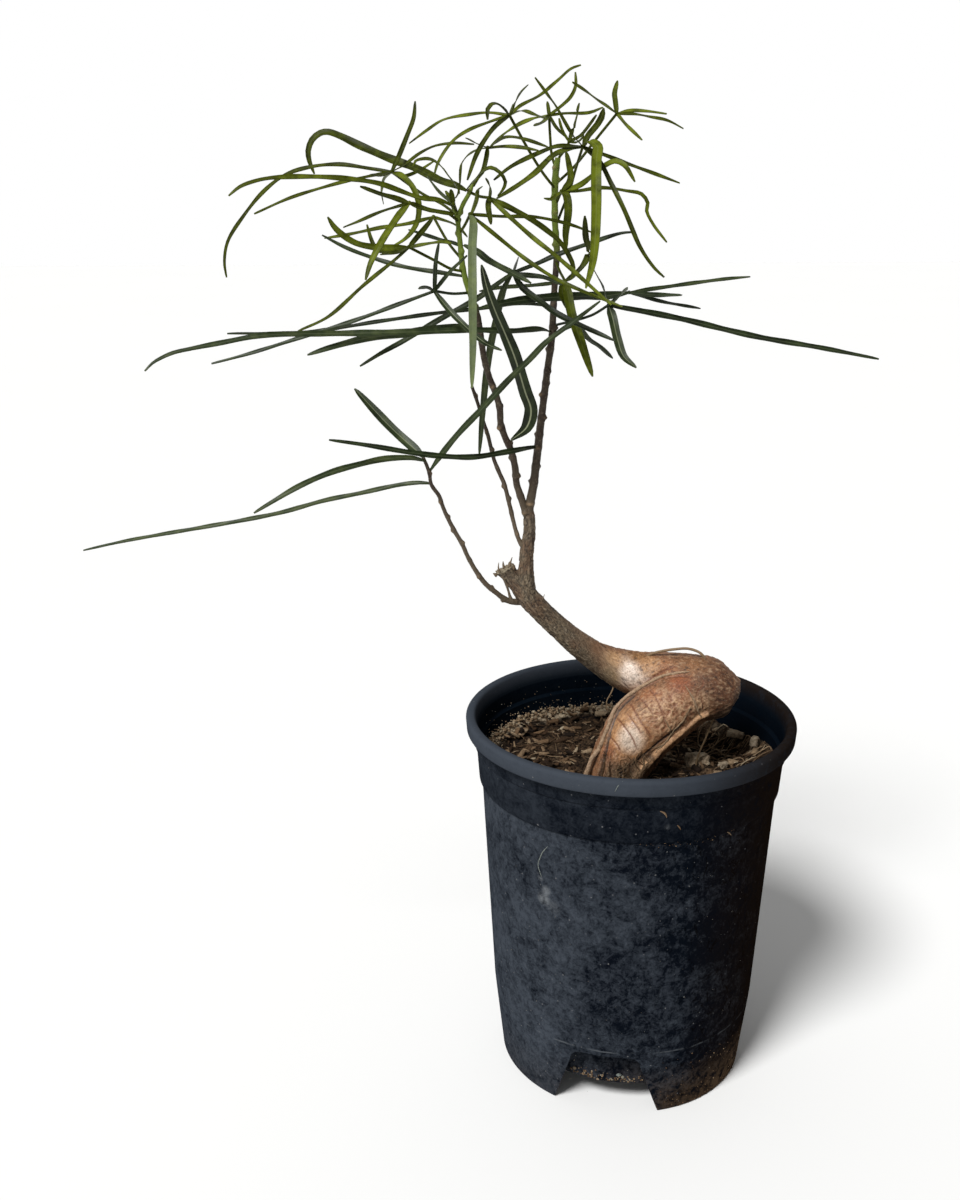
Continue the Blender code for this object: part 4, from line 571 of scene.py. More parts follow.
# Blades that stand out, by leaf and place in it: tint from dark to bright, and strength of the rib and of the
# waxy bloom
BLADE_LOOKS = {
    ("leaf_middle_broad", 0): (-0.3, 1.0, 0.0),
    ("fan_reach", 0): (0.1, 0.6, 0.0),
    ("fan_low_west", 4): (-0.1, 0.6, 0.0),
    ("leaf_low_up", 0): (0.2, 0.5, 0.0),
    # Dark tint: painted shade on this backlit blade
    ("leaf_north_hook", 0): (-0.7, 0.1, 0.0),
    ("leaf_north_long", 0): (0.3, 0.1, 0.0),
    ("fan_crown", 3): (0.2, 0.2, 0.5),
    ("fan_northeast", 2): (1.0, 0.2, 0.0),
    ("fan_northeast", 1): (-0.5, 0.2, 0.0),
    ("fan_northwest", 1): (0.8, 0.2, 0.0),
    ("shoot_west", 1): (0.0, 0.1, 0.5),
}
BLADE_STEP = 0.0022
BLADE_COLUMNS = 6
# The way that the upper side of most blades leans
BLADE_FACES = Vector((0.0, -0.75, 0.66))
WAVE_HEIGHT = 0.22
WAVE_LENGTH = 0.0035
STALK_RADIUS = 0.00065
KNUCKLE_RADIUS = 0.0010
BASE_WIDTH = 0.0011
TIP_WIDTH = 0.0006
WIDEST = 0.16
BASE_LENGTH = 0.016
TIP_BLUNTNESS = 4
TIP_ROUNDING = 0.65

# Light: the way to it and the spread of its disc
MAIN_LIGHT_WAY = Vector((-0.55, -0.75, 1.15))
MAIN_LIGHT_SPREAD = math.radians(18)
# Camera: where the photo was taken from, from the pot's axis at the floor
CAMERA_PLACE = Vector((-0.0774, -0.6342, 0.4562))
CAMERA_PITCH = 0.3032
CAMERA_ROLL = -0.0047
CAMERA_LENS = 39.42


def to_part(points):
    """Points in millimetres from the pot's axis as metres in the part's frame. Radii are scaled with them."""
    found = []
    for x, y, z, *rest in points:
        found.append([x * MM + AXIS.x, y * MM + AXIS.y, z * MM, *[value * MM for value in rest]])
    return found


def line_of(points, step):
    """The centres, and the last values, of a smooth line through points in millimetres."""
    route = smooth_route(to_part(points), step)
    return [Vector(point[:3]) for point in route], [point[-1] for point in route]


def smooth_route(points, step):
    """Points about a step apart on a centripetal Catmull-Rom curve. Values after x, y and z ride along."""
    before = [2 * a - b for a, b in zip(points[0], points[1])]
    after = [2 * a - b for a, b in zip(points[-1], points[-2])]
    knots = [before] + [list(point) for point in points] + [after]
    route = []
    for index in range(1, len(knots) - 2):
        near = knots[index - 1:index + 3]
        gaps = [(Vector(b[:3]) - Vector(a[:3])).length ** 0.5 for a, b in zip(near, near[1:])]
        times = [0.0, gaps[0], gaps[0] + gaps[1], sum(gaps)]
        span = (Vector(near[2][:3]) - Vector(near[1][:3])).length
        count = max(1, round(span / step))
        for part in range(count):
            moment = times[1] + (times[2] - times[1]) * part / count
            route.append(neville(near, times, moment))
    route.append(list(points[-1]))
    return route


def neville(near, times, moment):
    """One point of a Catmull-Rom span by repeated linear blending."""
    def blend(a, b, low, high):
        share = (moment - low) / (high - low)
        return [p + (q - p) * share for p, q in zip(a, b)]

    first = [blend(near[i], near[i + 1], times[i], times[i + 1]) for i in range(3)]
    second = [blend(first[i], first[i + 1], times[i], times[i + 2]) for i in range(2)]
    return blend(second[0], second[1], times[1], times[2])


def tangents(centres):
    """The direction of a line at each of its points."""
    found = []
    for index in range(len(centres)):
        before = centres[max(index - 1, 0)]
        after = centres[min(index + 1, len(centres) - 1)]
        found.append((after - before).normalized())
    return found


def distances(centres):
    """How far along a line each of its points is."""
    found = [0.0]
    for before, after in zip(centres, centres[1:]):
        found.append(found[-1] + (after - before).length)
    return found


def way_of(angle):
    """The level direction at an angle."""
    return Vector((math.cos(angle), math.sin(angle), 0.0))


def wrapped(angle):
    """The same angle within half a turn of 0."""
    return (angle + math.pi) % (2 * math.pi) - math.pi


def held(value):
    """A value held between 0 and 1."""
    return min(1.0, max(0.0, value))


def hump(offset, width):
    """A smooth rise to 1 where the offset is 0."""
    return math.exp(-((offset / width) ** 2))


def rough(place, size, depth=3):
    """Uneven values between about -1 and 1, with the largest bumps of the given size."""
    return noise.fractal(place / size, 1.0, 2.0, depth)


def turned(profile, steps):
    """A closed solid of revolution. The profile's radii and heights run from the axis to the axis."""
    bm = bmesh.new()
    verts = [bm.verts.new(AXIS + Vector((radius, 0.0, height))) for radius, height in profile]
    edges = [bm.edges.new(pair) for pair in zip(verts, verts[1:])]
    bmesh.ops.spin(bm, geom=verts + edges, cent=AXIS, axis=(0.0, 0.0, 1.0), angle=2 * math.pi, steps=steps,
                   use_merge=True, use_duplicate=False)
    bmesh.ops.remove_doubles(bm, verts=bm.verts, dist=0.00002)
    bmesh.ops.recalc_face_normals(bm, faces=bm.faces)
    return bm


def loft(rings, values=None):
    """A closed solid through rings of equal count: the first ring's face is extruded from ring to ring."""
    bm = bmesh.new()
    layers = {name: bm.verts.layers.float.new(name) for name in (values or {})}
    bmesh.ops.create_circle(bm, cap_ends=True, segments=len(rings[0]), radius=1.0)
    bm.faces.ensure_lookup_table()
    face = bm.faces[0]
    start = list(face.verts)
    for index, ring in enumerate(rings):
        if index:
            face = bmesh.ops.extrude_discrete_faces(bm, faces=[face])["faces"][0]
        for corner, (vert, point) in enumerate(zip(face.verts, ring)):
            vert.co = point
            for name, layer in layers.items():
                value = values[name][index]
                vert[layer] = value[corner] if isinstance(value, list) else value
    bm.faces.new(reversed(start))
    bmesh.ops.recalc_face_normals(bm, faces=bm.faces)
    return bm


def gather(whole, part):
    """Adds a small bmesh to a larger one, with its layers."""
    mesh = bpy.data.meshes.new("part")
    part.to_mesh(mesh)
    part.free()
    whole.from_mesh(mesh)
    bpy.data.meshes.remove(mesh)


def new_object(name, data):
    obj = bpy.data.objects.new(name, data)
    bpy.context.scene.collection.objects.link(obj)
    return obj


def plain_object(name, bm):
    """A smooth-shaded object of a bmesh, which is freed."""
    mesh = bpy.data.meshes.new(name)
    bm.to_mesh(mesh)
    bm.free()
    mesh.shade_smooth()
    return new_object(name, mesh)


def settle(obj):
    """Makes an object's modifiers part of its mesh."""
    bpy.context.view_layer.update()
    graph = bpy.context.evaluated_depsgraph_get()
    mesh = bpy.data.meshes.new_from_object(obj.evaluated_get(graph))
    obj.modifiers.clear()
    obj.data = mesh


def cut(obj, cutters):
    """Takes the cutters' room out of a solid, and removes the cutters."""
    helpers = bpy.data.collections.new("cutters")
    bpy.context.scene.collection.children.link(helpers)
    for cutter in cutters:
        bpy.context.scene.collection.objects.unlink(cutter)
        helpers.objects.link(cutter)
    boolean = obj.modifiers.new("cut", "BOOLEAN")
    boolean.operand_type = "COLLECTION"
    boolean.collection = helpers
    boolean.operation = "DIFFERENCE"
    boolean.solver = "MANIFOLD"
    settle(obj)
    for cutter in cutters:
        bpy.data.objects.remove(cutter)
    bpy.data.collections.remove(helpers)
    return obj


def finish_piece(obj, materials, slot, *nodes, sharp=None):
    """Gives a piece its materials, puts it on the body and hides the parts of the nodes that it stands for.
    """
    obj.data.materials.clear()
    for material in materials:
        obj.data.materials.append(material)
    obj.data.shade_smooth()
    if sharp:
        obj.data.set_sharp_from_angle(angle=math.radians(sharp))
    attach(obj, "root")
    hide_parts(*nodes)
    return obj


class Nodes:
    """The shader nodes of a material or a world. Each method adds one node and gives its output."""

    def __init__(self, owner):
        owner.use_nodes = True
        self.tree = owner.node_tree

    def feed(self, socket, value):
        if isinstance(value, bpy.types.NodeSocket):
            self.tree.links.new(value, socket)
        elif socket.type == "RGBA":
            socket.default_value = (*value, 1.0)
        else:
            socket.default_value = value

    def node(self, kind, inputs, output, **settings):
        node = self.tree.nodes.new(kind)
        for name, value in settings.items():
            setattr(node, name, value)
        for name, value in inputs.items():
            self.feed(node.inputs[name], value)
        return node.outputs[output]

    def axis(self, name, place):
        return self.node("ShaderNodeSeparateXYZ", {0: place}, name)

    def span(self, value, low, high, start=0.0, end=1.0):
        """The value's place between low and high, held within start and end."""
        return self.node("ShaderNodeMapRange", {0: value, 1: low, 2: high, 3: start, 4: end}, "Result")

    def math(self, operation, first, second=0.0):
        return self.node("ShaderNodeMath", {0: first, 1: second}, "Value", operation=operation)

    def times(self, first, second):
        return self.math("MULTIPLY", first, second)

    def plus(self, first, second):
        return self.math("ADD", first, second)

    def apart(self, first, second):
        """How far two values are from each other."""
        return self.math("ABSOLUTE", self.math("SUBTRACT", first, second))


class Finish(Nodes):
    """A procedural material."""

    def __init__(self, name, roughness=0.6, specular=0.5):
        self.material = bpy.data.materials.new(name)
        super().__init__(self.material)
        self.shader = self.tree.nodes["Principled BSDF"]
        self.shader.inputs["Roughness"].default_value = roughness
        self.shader.inputs["Specular IOR Level"].default_value = specular
        self.place = self.node("ShaderNodeTexCoord", {}, "Object")

    def from_axis(self, scale=(1.0, 1.0, 1.0)):
        """Places measured from the pot's axis."""
        inputs = {"Vector": self.place, "Location": -AXIS, "Scale": scale}
        return self.node("ShaderNodeMapping", inputs, "Vector")

    def noise(self, size, detail=3.0, roughness=0.5, distortion=0.0, place=None):
        inputs = {"Vector": place or self.place, "Scale": 1.0 / size, "Detail": detail,
                  "Roughness": roughness, "Distortion": distortion}
        return self.node("ShaderNodeTexNoise", inputs, "Fac")

    def cells(self, size, place):
        return self.node("ShaderNodeTexVoronoi", {"Vector": place, "Scale": 1.0 / size}, "Distance")

    def distance(self, place, centre):
        """The distance of a place from a centre given in millimetres."""
        inputs = {0: place, 1: Vector(centre) * MM}
        return self.node("ShaderNodeVectorMath", inputs, "Value", operation="DISTANCE")

    def attribute(self, name, output="Fac"):
        return self.node("ShaderNodeAttribute", {}, output, attribute_name=name)

    def ramp(self, value, *stops):
        node = self.tree.nodes.new("ShaderNodeValToRGB")
        self.feed(node.inputs["Fac"], value)
        marks = node.color_ramp.elements
        while len(marks) < len(stops):
            marks.new(1.0)
        for mark, (position, colour) in zip(marks, stops):
            mark.position = position
            mark.color = (*colour, 1.0)
        return node.outputs["Color"]

    def mix(self, share, first, second, blend="MIX"):
        colours = {0: share, 6: first, 7: second}
        return self.node("ShaderNodeMix", colours, 2, data_type="RGBA", blend_type=blend)

    def bump(self, height, distance, under=None):
        inputs = {"Height": height, "Distance": distance}
        if under:
            inputs["Normal"] = under
        return self.node("ShaderNodeBump", inputs, "Normal")

    def done(self, colour, normal=None, roughness=None):
        for name, value in (("Base Color", colour), ("Normal", normal), ("Roughness", roughness)):
            if value:
                self.feed(self.shader.inputs[name], value)
        return self.material


def colour_setting(name, description, default):
    return FloatVectorProperty(name=name, description=description, subtype="COLOR", default=default, min=0.0,
                               max=1.0)


def length_setting(name, description, default, high, low=0.0):
    return FloatProperty(name=name, description=description, unit="LENGTH", default=default, min=low,
                         max=high)


def number_setting(name, description, default, high):
    return FloatProperty(name=name, description=description, default=default, min=0.0, max=high)


def count_setting(name, description, default, high, low=0):
    return IntProperty(name=name, description=description, default=default, min=low, max=high)


class PotSettings(PropertyGroup):
    plastic: colour_setting("Plastic", "Colour of the clean plastic", (0.0028, 0.0042, 0.0072))
    dust: colour_setting("Dust", "Colour of the dust film on the plastic", (0.046, 0.054, 0.067))
    # Colour of the painted brown shade on the pot's right side, away from the light
    right_shade_colour: colour_setting("Dirt", "Colour of the soil stains", (0.010, 0.0055, 0.0025))
    rounding: length_setting("Edge Rounding", "Rounding of the cut edges", 0.0004, 0.001)
    steps: count_setting("Steps", "Steps round the turned wall", 168, 360, 24)
    seed: IntProperty(name="Seed", description="Start of the random scatter of crumbs", default=3)


class SoilSettings(PropertyGroup):
    dark: colour_setting("Dark Mix", "Colour of the deep bark mix", (0.006, 0.004, 0.0028))
    dry: colour_setting("Dry Mix", "Colour of the dry bark mix", (0.075, 0.046, 0.026))
    crust: colour_setting("Crust", "Colour of the pale dust along the wall", (0.44, 0.355, 0.25))
    chips: count_setting("Bark Chips", "Number of small loose chips", 1700, 3000)
    fibres: count_setting("Fibres", "Number of loose fibres", 360, 2000)
    crumbs: count_setting("Crumbs", "Number of pale crumbs along the wall", 700, 2000)
    seed: IntProperty(name="Seed", description="Start of the random scatter", default=11)


class WoodSettings(PropertyGroup):
    voxel: length_setting("Grain", "Size of the caudex's mesh faces", 0.00052, 0.002, 0.0004)
    relief: length_setting("Relief", "Depth of the bark's unevenness", 0.00045, 0.002)
    bark: colour_setting("Bark", "Colour of the caudex's bark", (0.22, 0.125, 0.075))
    pale_bark: colour_setting("Pale Bark", "Colour of dry flakes", (0.78, 0.66, 0.55))
    old_bark: colour_setting("Old Bark", "Colour of the trunk's flakes", (0.195, 0.150, 0.105))
    dark_bark: colour_setting("Dark Bark", "Colour between the trunk's flakes", (0.075, 0.050, 0.032))
    stem_bark: colour_setting("Stem Bark", "Colour of the thin stems", (0.026, 0.0145, 0.008))
    fibres: count_setting("Fibres", "Number of fibres hanging on the caudex's foot", 130, 400)


class LeafSettings(PropertyGroup):
    thickness: length_setting("Thickness", "Thickness of the blades", 0.00035, 0.001, 0.0001)
    fold: number_setting("Fold", "Rise of the blade's edges over its rib, to its half width", 0.22, 1.0)
    mature: colour_setting("Mature", "Colour of the old leaves", (0.020, 0.031, 0.010))
    young: colour_setting("Young", "Colour of the young leaves", (0.048, 0.060, 0.004))
    under: colour_setting("Underside", "Colour of the blades' undersides", (0.055, 0.068, 0.030))
    rib: colour_setting("Rib", "Colour of the ribs", (0.26, 0.28, 0.17))


class StageSettings(PropertyGroup):
    floor: colour_setting("Floor", "Colour of the floor", (0.86, 0.86, 0.85))
    backdrop: number_setting("Backdrop", "Brightness of the backdrop", 1.0, 5.0)
    sky: number_setting("Sky Light", "Strength of the even light from above", 0.35, 5.0)
    main_light: number_setting("Main Light", "Strength of the soft main light", 3.6, 20.0)


def dust_film_and_painted_light(finish, side, height, mottle, fine, place):
    """How dusty the plastic is, in clouds; less film on the right and on the band is painted shade, and more
    on the lip, most at its left, is dust with a painted sheen.
    """
    cloud = finish.noise(0.030, 7.0, 0.66, 0.7, place)
    dusty = finish.plus(finish.times(cloud, 0.34), finish.times(mottle, 0.66))
    # Less film to the right: painted shade on the side away from the light
    dusty = finish.plus(dusty, finish.span(side, -0.075, 0.060, 0.10, -0.075))
    dusty = finish.plus(dusty, finish.span(fine, 0.2, 0.8, -0.06, 0.06))
    # Less film on the band and above it: painted shade under the lip
    band = finish.span(height, BAND_BOTTOM - 0.001, BAND_BOTTOM + 0.0002, 1.0, 0.42)
    film = finish.times(finish.span(dusty, 0.445, 0.655), band)
    # More film on the lip, most at its left: its dust, with a painted sheen where the light falls
    lip = finish.times(finish.span(height, LIP_BOTTOM - 0.0004, LIP_BOTTOM + 0.0006),
                       finish.span(side, -0.01, 0.075, 0.95, 0.3))
    return finish.math("MAXIMUM", film, finish.times(lip, finish.span(mottle, 0.30, 0.52, 0.8, 1.0)))


def crazing(finish, side, height, place):
    """Broken dark cracks on the right of the wall, along the middle level of a wandering noise."""
    wander = finish.noise(0.013, 5.0, 0.62, 0.6, finish.from_axis((1.0, 1.0, 0.6)))
    broken = finish.span(finish.noise(0.008, 2.0, 0.5, 0.0, place), 0.46, 0.54)
    line = finish.span(finish.apart(wander, 0.5), 0.012, 0.004)
    cracked = finish.times(line, finish.span(side, -0.004, 0.030))
    return finish.times(cracked, finish.times(broken, finish.span(height, BAND_BOTTOM, BAND_BOTTOM - 0.003)))


def pot_plastic(settings):
    """Blue-black plastic under an uneven film of dust, with pale specks, cracks, a worn line, foot dirt,
    painted brown shade on the right and painted shade inside the wall.
    """
    finish = Finish("pot_plastic", 0.6, 0.0)
    place = finish.from_axis()
    mottle = finish.noise(0.0048, 9.0, 0.82, 0.5, place)
    fine = finish.noise(0.0016, 4.0, 0.7, 0.0, place)
    side = finish.axis("X", place)
    height = finish.axis("Z", place)
    # The film carries painted shade on the right and on the band, and a painted sheen on the lip
    film = dust_film_and_painted_light(finish, side, height, mottle, fine, place)
    colour = finish.mix(film, settings.plastic, settings.dust)
    specks = finish.span(finish.cells(0.0040, place), 0.13, 0.06, 0.0, 0.8)
    colour = finish.mix(finish.times(specks, finish.span(fine, 0.50, 0.56)), colour, POT_SPECK)
    cracked = crazing(finish, side, height, place)
    colour = finish.mix(finish.times(cracked, 0.85), colour, POT_CRACK)

    drift = finish.times(finish.noise(0.02, 2.0, 0.5, 0.0, place), 0.004)
    line = finish.span(finish.apart(height, finish.plus(drift, LINE_HEIGHT)), 0.0006, 0.0002)
    worn = finish.span(finish.noise(0.010, 3.0, 0.6, 0.0, place), 0.46, 0.60, 0.0, 0.6)
    colour = finish.mix(finish.times(line, worn), colour, POT_LINE)
    # Painted brown shade on the right side, away from the light, broken up by the mottle
    right_shade_mask = finish.times(finish.span(side, 0.022, 0.068), finish.span(mottle, 0.30, 0.50))
    colour = finish.mix(finish.times(right_shade_mask, 0.8), colour, settings.right_shade_colour)
    dirty = finish.times(finish.span(height, 0.030, 0.004), finish.span(side, -0.02, 0.045, 0.1, 0.9))
    colour = finish.mix(finish.times(dirty, finish.span(mottle, 0.42, 0.54)), colour, FOOT_DIRT)
    for centre, reach, strength in POT_SMUDGES:
        near = finish.span(finish.distance(place, centre), reach * MM, 0.3 * reach * MM, 0.0, strength)
        colour = finish.mix(finish.times(near, finish.span(mottle, 0.36, 0.60)), colour, POT_SMUDGE)
    # Painted shade on the inner wall, over its dust film
    colour = finish.mix(finish.times(finish.attribute("inside"), 0.8), colour, POT_INSIDE_SHADE)
    normal = finish.bump(finish.math("SUBTRACT", mottle, finish.times(cracked, 0.5)), 0.00025)
    return finish.done(colour, normal, finish.span(film, 0.0, 0.8, 0.38, 0.68))


def inner_radius(height):
    """The pot wall's inner radius at a height between the floor and the neck."""
    stations = ((0.0, FOOT_RADIUS), (WALL_TURN, WALL_TURN_RADIUS), (BAND_BOTTOM - 0.002, WALL_TOP_RADIUS),
                (BAND_BOTTOM, BAND_RADIUS), (NECK_BOTTOM, BAND_TOP_RADIUS - 0.0006))
    for (low, low_radius), (high, high_radius) in zip(stations, stations[1:]):
        if height <= high:
            share = (height - low) / (high - low)
            return low_radius + (high_radius - low_radius) * share - WALL
    return BAND_TOP_RADIUS - WALL


def outer_profile():
    """Radii and heights of the pot's outside, from its top down, with small roundings at the steps."""
    rim = POT_HIGH.x - AXIS.x
    top = POT_HIGH.z
    turns = [math.radians(15 * step) for step in range(7)]
    corner = [(rim - LIP_ROUND * (1 - math.sin(turn)), top - LIP_ROUND * (1 - math.cos(turn)))
              for turn in turns]
    return [(0.0, top), *corner,
            (rim - 0.0002, LIP_BOTTOM + 0.0040), (rim - 0.0004, LIP_BOTTOM + 0.0012),
            (rim - 0.0009, LIP_BOTTOM + 0.0004), (rim - 0.0018, LIP_BOTTOM),
            (NECK_RADIUS + 0.0006, LIP_BOTTOM - 0.0004), (NECK_RADIUS, LIP_BOTTOM - 0.0012),
            (NECK_RADIUS, NECK_BOTTOM + 0.0010), (NECK_RADIUS - 0.0004, NECK_BOTTOM + 0.0003),
            (BAND_TOP_RADIUS, NECK_BOTTOM), (BAND_TOP_RADIUS - 0.0001, NECK_BOTTOM - 0.0010),
            (BAND_RADIUS + 0.0001, BAND_BOTTOM + 0.0012), (BAND_RADIUS - 0.0004, BAND_BOTTOM + 0.0003),
            (WALL_TOP_RADIUS + 0.0002, BAND_BOTTOM - 0.0002),
            (WALL_TOP_RADIUS - 0.0001, BAND_BOTTOM - 0.0016),
            (WALL_TURN_RADIUS + 0.0003, WALL_TURN + 0.004), (WALL_TURN_RADIUS, WALL_TURN + 0.001),
            (WALL_TURN_RADIUS - 0.0003, WALL_TURN - 0.002), (FOOT_RADIUS + 0.0001, 0.0008),
            (FOOT_RADIUS - 0.0005, 0.0), (0.0, 0.0)]


def cavity_profile():
    """Radii and heights of the room inside the pot, from over its mouth down to its floor."""
    top = POT_HIGH.z
    floor_top = FLOOR_UNDERSIDE + FLOOR
    mouth = POT_HIGH.x - AXIS.x - LIP_WIDTH
    return [(0.0, top + 0.01), (mouth + 0.0014, top + 0.01), (mouth + 0.0014, top),
            (mouth + 0.0005, top - 0.0005), (mouth, top - 0.0015),
            (NECK_RADIUS - WALL + 0.0004, top - LIP_HEIGHT + 0.0012),
            (NECK_RADIUS - WALL, top - LIP_HEIGHT), (NECK_RADIUS - WALL, NECK_BOTTOM + 0.0004),
            (BAND_TOP_RADIUS - WALL - 0.0006, NECK_BOTTOM - 0.001),
            *[(inner_radius(height), height)
              for height in (BAND_BOTTOM, BAND_BOTTOM - 0.002, WALL_TURN, floor_top + 0.002)],
            (inner_radius(floor_top) - 0.001, floor_top), (0.0, floor_top)]


def outer_radius(height):
    """The radius of the pot's outside at a height."""
    profile = outer_profile()[1:-1]
    for (upper, top), (lower, bottom) in zip(profile, profile[1:]):
        if bottom <= height <= top and top > bottom:
            return lower + (upper - lower) * (height - bottom) / (top - bottom)
    return profile[0][0]


def round_place(angle, radius, height):
    """A place from its angle in degrees about the pot's axis, its radius and its height."""
    return AXIS + way_of(math.radians(angle)) * radius + Vector((0.0, 0.0, height))


def recess_cutters(grown):
    """The arched hollows between the feet: arch prisms across the wall, cut back to a round inner wall."""
    cutters = []
    top = RECESS_TOP + grown
    shoulder = RECESS_TOP_HALF + grown
    foot = RECESS_FOOT_HALF + grown
    back = RECESS_BACK_RADIUS - grown
    turns = [0.5 * math.pi * step / RECESS_CORNER_STEPS for step in range(RECESS_CORNER_STEPS + 1)]
    right = [(shoulder - RECESS_ROUND * (1 - math.sin(turn)), top - RECESS_ROUND * (1 - math.cos(turn)))
             for turn in turns]
    left = [(-across, height) for across, height in reversed(right)]
    outline = [(-foot, -0.005), *left, *right, (foot, -0.005)]
    for index in range(RECESS_COUNT):
        heading = RECESS_FIRST + index * 2 * math.pi / RECESS_COUNT
        outward = way_of(heading)
        across_way = way_of(heading + 0.5 * math.pi)
        rings = [[AXIS + outward * reach + across_way * across + Vector((0.0, 0.0, height))
                  for across, height in outline] for reach in (0.03, 0.12)]
        prism = plain_object(f"recess_{index}", loft(rings))
        core = turned([(0.0, 0.06), (back, 0.06), (back, -0.02), (0.0, -0.02)], ROUND_STEPS)
        cutters.append(cut(prism, [plain_object(f"recess_core_{index}", core)]))
    return cutters


def drain_cutters():
    """The drain holes' cylinders."""
    cutters = []
    for index in range(DRAIN_COUNT):
        bm = bmesh.new()
        bmesh.ops.create_cone(bm, cap_ends=True, segments=32, radius1=DRAIN_RADIUS, radius2=DRAIN_RADIUS,
                              depth=0.02)
        place = round_place(360 * index / DRAIN_COUNT, DRAIN_RING, FLOOR_UNDERSIDE)
        cutters.append(plain_object(f"drain_{index}", moved(bm, place)))
    return cutters


def moved(bm, place, turn=None):
    """Turns a piece about the origin, where a turn is given, and moves it to its place."""
    if turn:
        bmesh.ops.rotate(bm, verts=bm.verts, cent=(0.0, 0.0, 0.0), matrix=turn)
    bmesh.ops.translate(bm, verts=bm.verts, vec=place)
    return bm


def shaded(bm, shade):
    """Gives every vertex of a bit one shade."""
    layer = bm.verts.layers.float.new("shade")
    for vert in bm.verts:
        vert[layer] = shade
    return bm


def crumb(dice, place, radius, shade):
    """One small uneven crumb about a place."""
    bm = bmesh.new()
    bmesh.ops.create_icosphere(bm, subdivisions=1, radius=radius)
    stretch = Vector((dice.uniform(0.7, 1.4), dice.uniform(0.7, 1.3), dice.uniform(0.6, 1.1)))
    bmesh.ops.scale(bm, verts=bm.verts, vec=stretch)
    return shaded(moved(bm, place), shade)


def pot_marks(settings):
    """The hair, fragments, scratches and crumbs that stick on the pot."""
    dice = random.Random(settings.seed)
    marks = bmesh.new()
    for shade, points in POT_MARKS:
        placed = [(*round_place(angle, outer_radius(height * MM), height * MM), radius * MM)
                  for angle, height, radius in points]
        route = smooth_route(placed, 0.0008)
        gather(marks, tube([Vector(point[:3]) for point in route], [point[3] for point in route], 6, shade))
    for count, angles, (low, high), reach_down, sizes, reach, shades in POT_CRUMBS:
        for _ in range(count):
            height = (low + (high - low) * dice.random() ** reach_down) * MM
            radius = dice.uniform(*sizes) * MM
            place = round_place(dice.uniform(*angles), outer_radius(height) + reach * MM, height)
            gather(marks, crumb(dice, place, radius, dice.uniform(*shades)))
    back = RECESS_BACK_RADIUS - 0.0001
    for angle, height, size, shade in RECESS_CHIPS:
        gather(marks, crumb(dice, round_place(angle, back, height * MM), size * MM, shade))
    for _ in range(RECESS_CRUMBS):
        height = FLOOR_UNDERSIDE + 0.0004 + abs(dice.gauss(0.0, 0.0022))
        place = round_place(dice.uniform(-122.0, -84.0), back, height)
        size = dice.uniform(0.0002, 0.0007)
        gather(marks, crumb(dice, place, size, dice.uniform(0.45, 0.95)))
    for _ in range(INNER_CRUMBS):
        height = dice.uniform(0.168, 0.186)
        place = round_place(dice.uniform(95.0, 165.0), inner_radius(height), height)
        size = dice.uniform(0.00012, 0.0003)
        gather(marks, crumb(dice, place, size, dice.uniform(0.75, 1.0)))
    return marks


class BOTTLETREE_OT_pot(Operator):
    """Builds the nursery pot with its lip, band, foot recesses, drain holes and the marks on it"""
    bl_idname = "bottle_tree.pot"
    bl_label = "Build Pot"

    def execute(self, context):
        settings = context.scene.bottle_tree_pot
        pot = plain_object("pot_shell", turned(outer_profile(), settings.steps))
        cavity = plain_object("pot_cavity", turned(cavity_profile(), settings.steps))
        cut(cavity, recess_cutters(WALL))
        under = FOOT_RADIUS - FOOT_WALL
        underside = plain_object("pot_underside", turned(
            [(0.0, FLOOR_UNDERSIDE), (under, FLOOR_UNDERSIDE), (under, -0.01), (0.0, -0.01)], ROUND_STEPS))
        cut(pot, [cavity, underside, *recess_cutters(0.0), *drain_cutters()])
        bevel = pot.modifiers.new("rounding", "BEVEL")
        bevel.width = settings.rounding
        bevel.segments = 2
        bevel.limit_method = "ANGLE"
        bevel.angle_limit = math.radians(50)
        settle(pot)
        bm = bmesh.new()
        bm.from_mesh(pot.data)
        # Marks the inner wall below the lip, for the painted shade on it
        inside = bm.verts.layers.float.new("inside")
        bm.normal_update()
        for vert in bm.verts:
            outward = vert.co - AXIS
            outward.z = 0.0
            faces_in = vert.normal.dot(outward.normalized()) < 0.2
            below_lip = vert.co.z < POT_HIGH.z - 0.002
            vert[inside] = 1.0 if faces_in and below_lip and outward.length > 0.06 else 0.0
        bm.to_mesh(pot.data)
        bm.free()
        finish_piece(pot, [pot_plastic(settings)], "pot_plastic", "pot", sharp=38)
        finish_piece(plain_object("pot_marks", pot_marks(settings)),
                     [shaded_bits("pot_marks", POT_BITS)], "pot_plastic", "pot")
        return {"FINISHED"}


def soil_height(x, y):
    """The soil's uneven top: bumps of bark, a crust along the wall and a hollow under the caudex."""
    place = Vector((x, y, 0.0))
    bumps = noise.noise(place / SOIL_BUMP_SIZE) + 0.5 * noise.noise(place * 2.3 / SOIL_BUMP_SIZE)
    hollow = math.exp(-((place - SOIL_HOLLOW).length / SOIL_HOLLOW_REACH) ** 2)
    crust = math.exp((place.length - SOIL_EDGE) / SOIL_EDGE_REACH)
    side_rise = (SOIL_RIGHT_RISE if x > 0 else SOIL_LEFT_RISE) * (x / SOIL_EDGE) ** 2
    level = SOIL_TOP + (SOIL_EDGE_RISE + side_rise) * crust
    return level + SOIL_BUMP * bumps * (1 - crust) - SOIL_HOLLOW_DEPTH * hollow


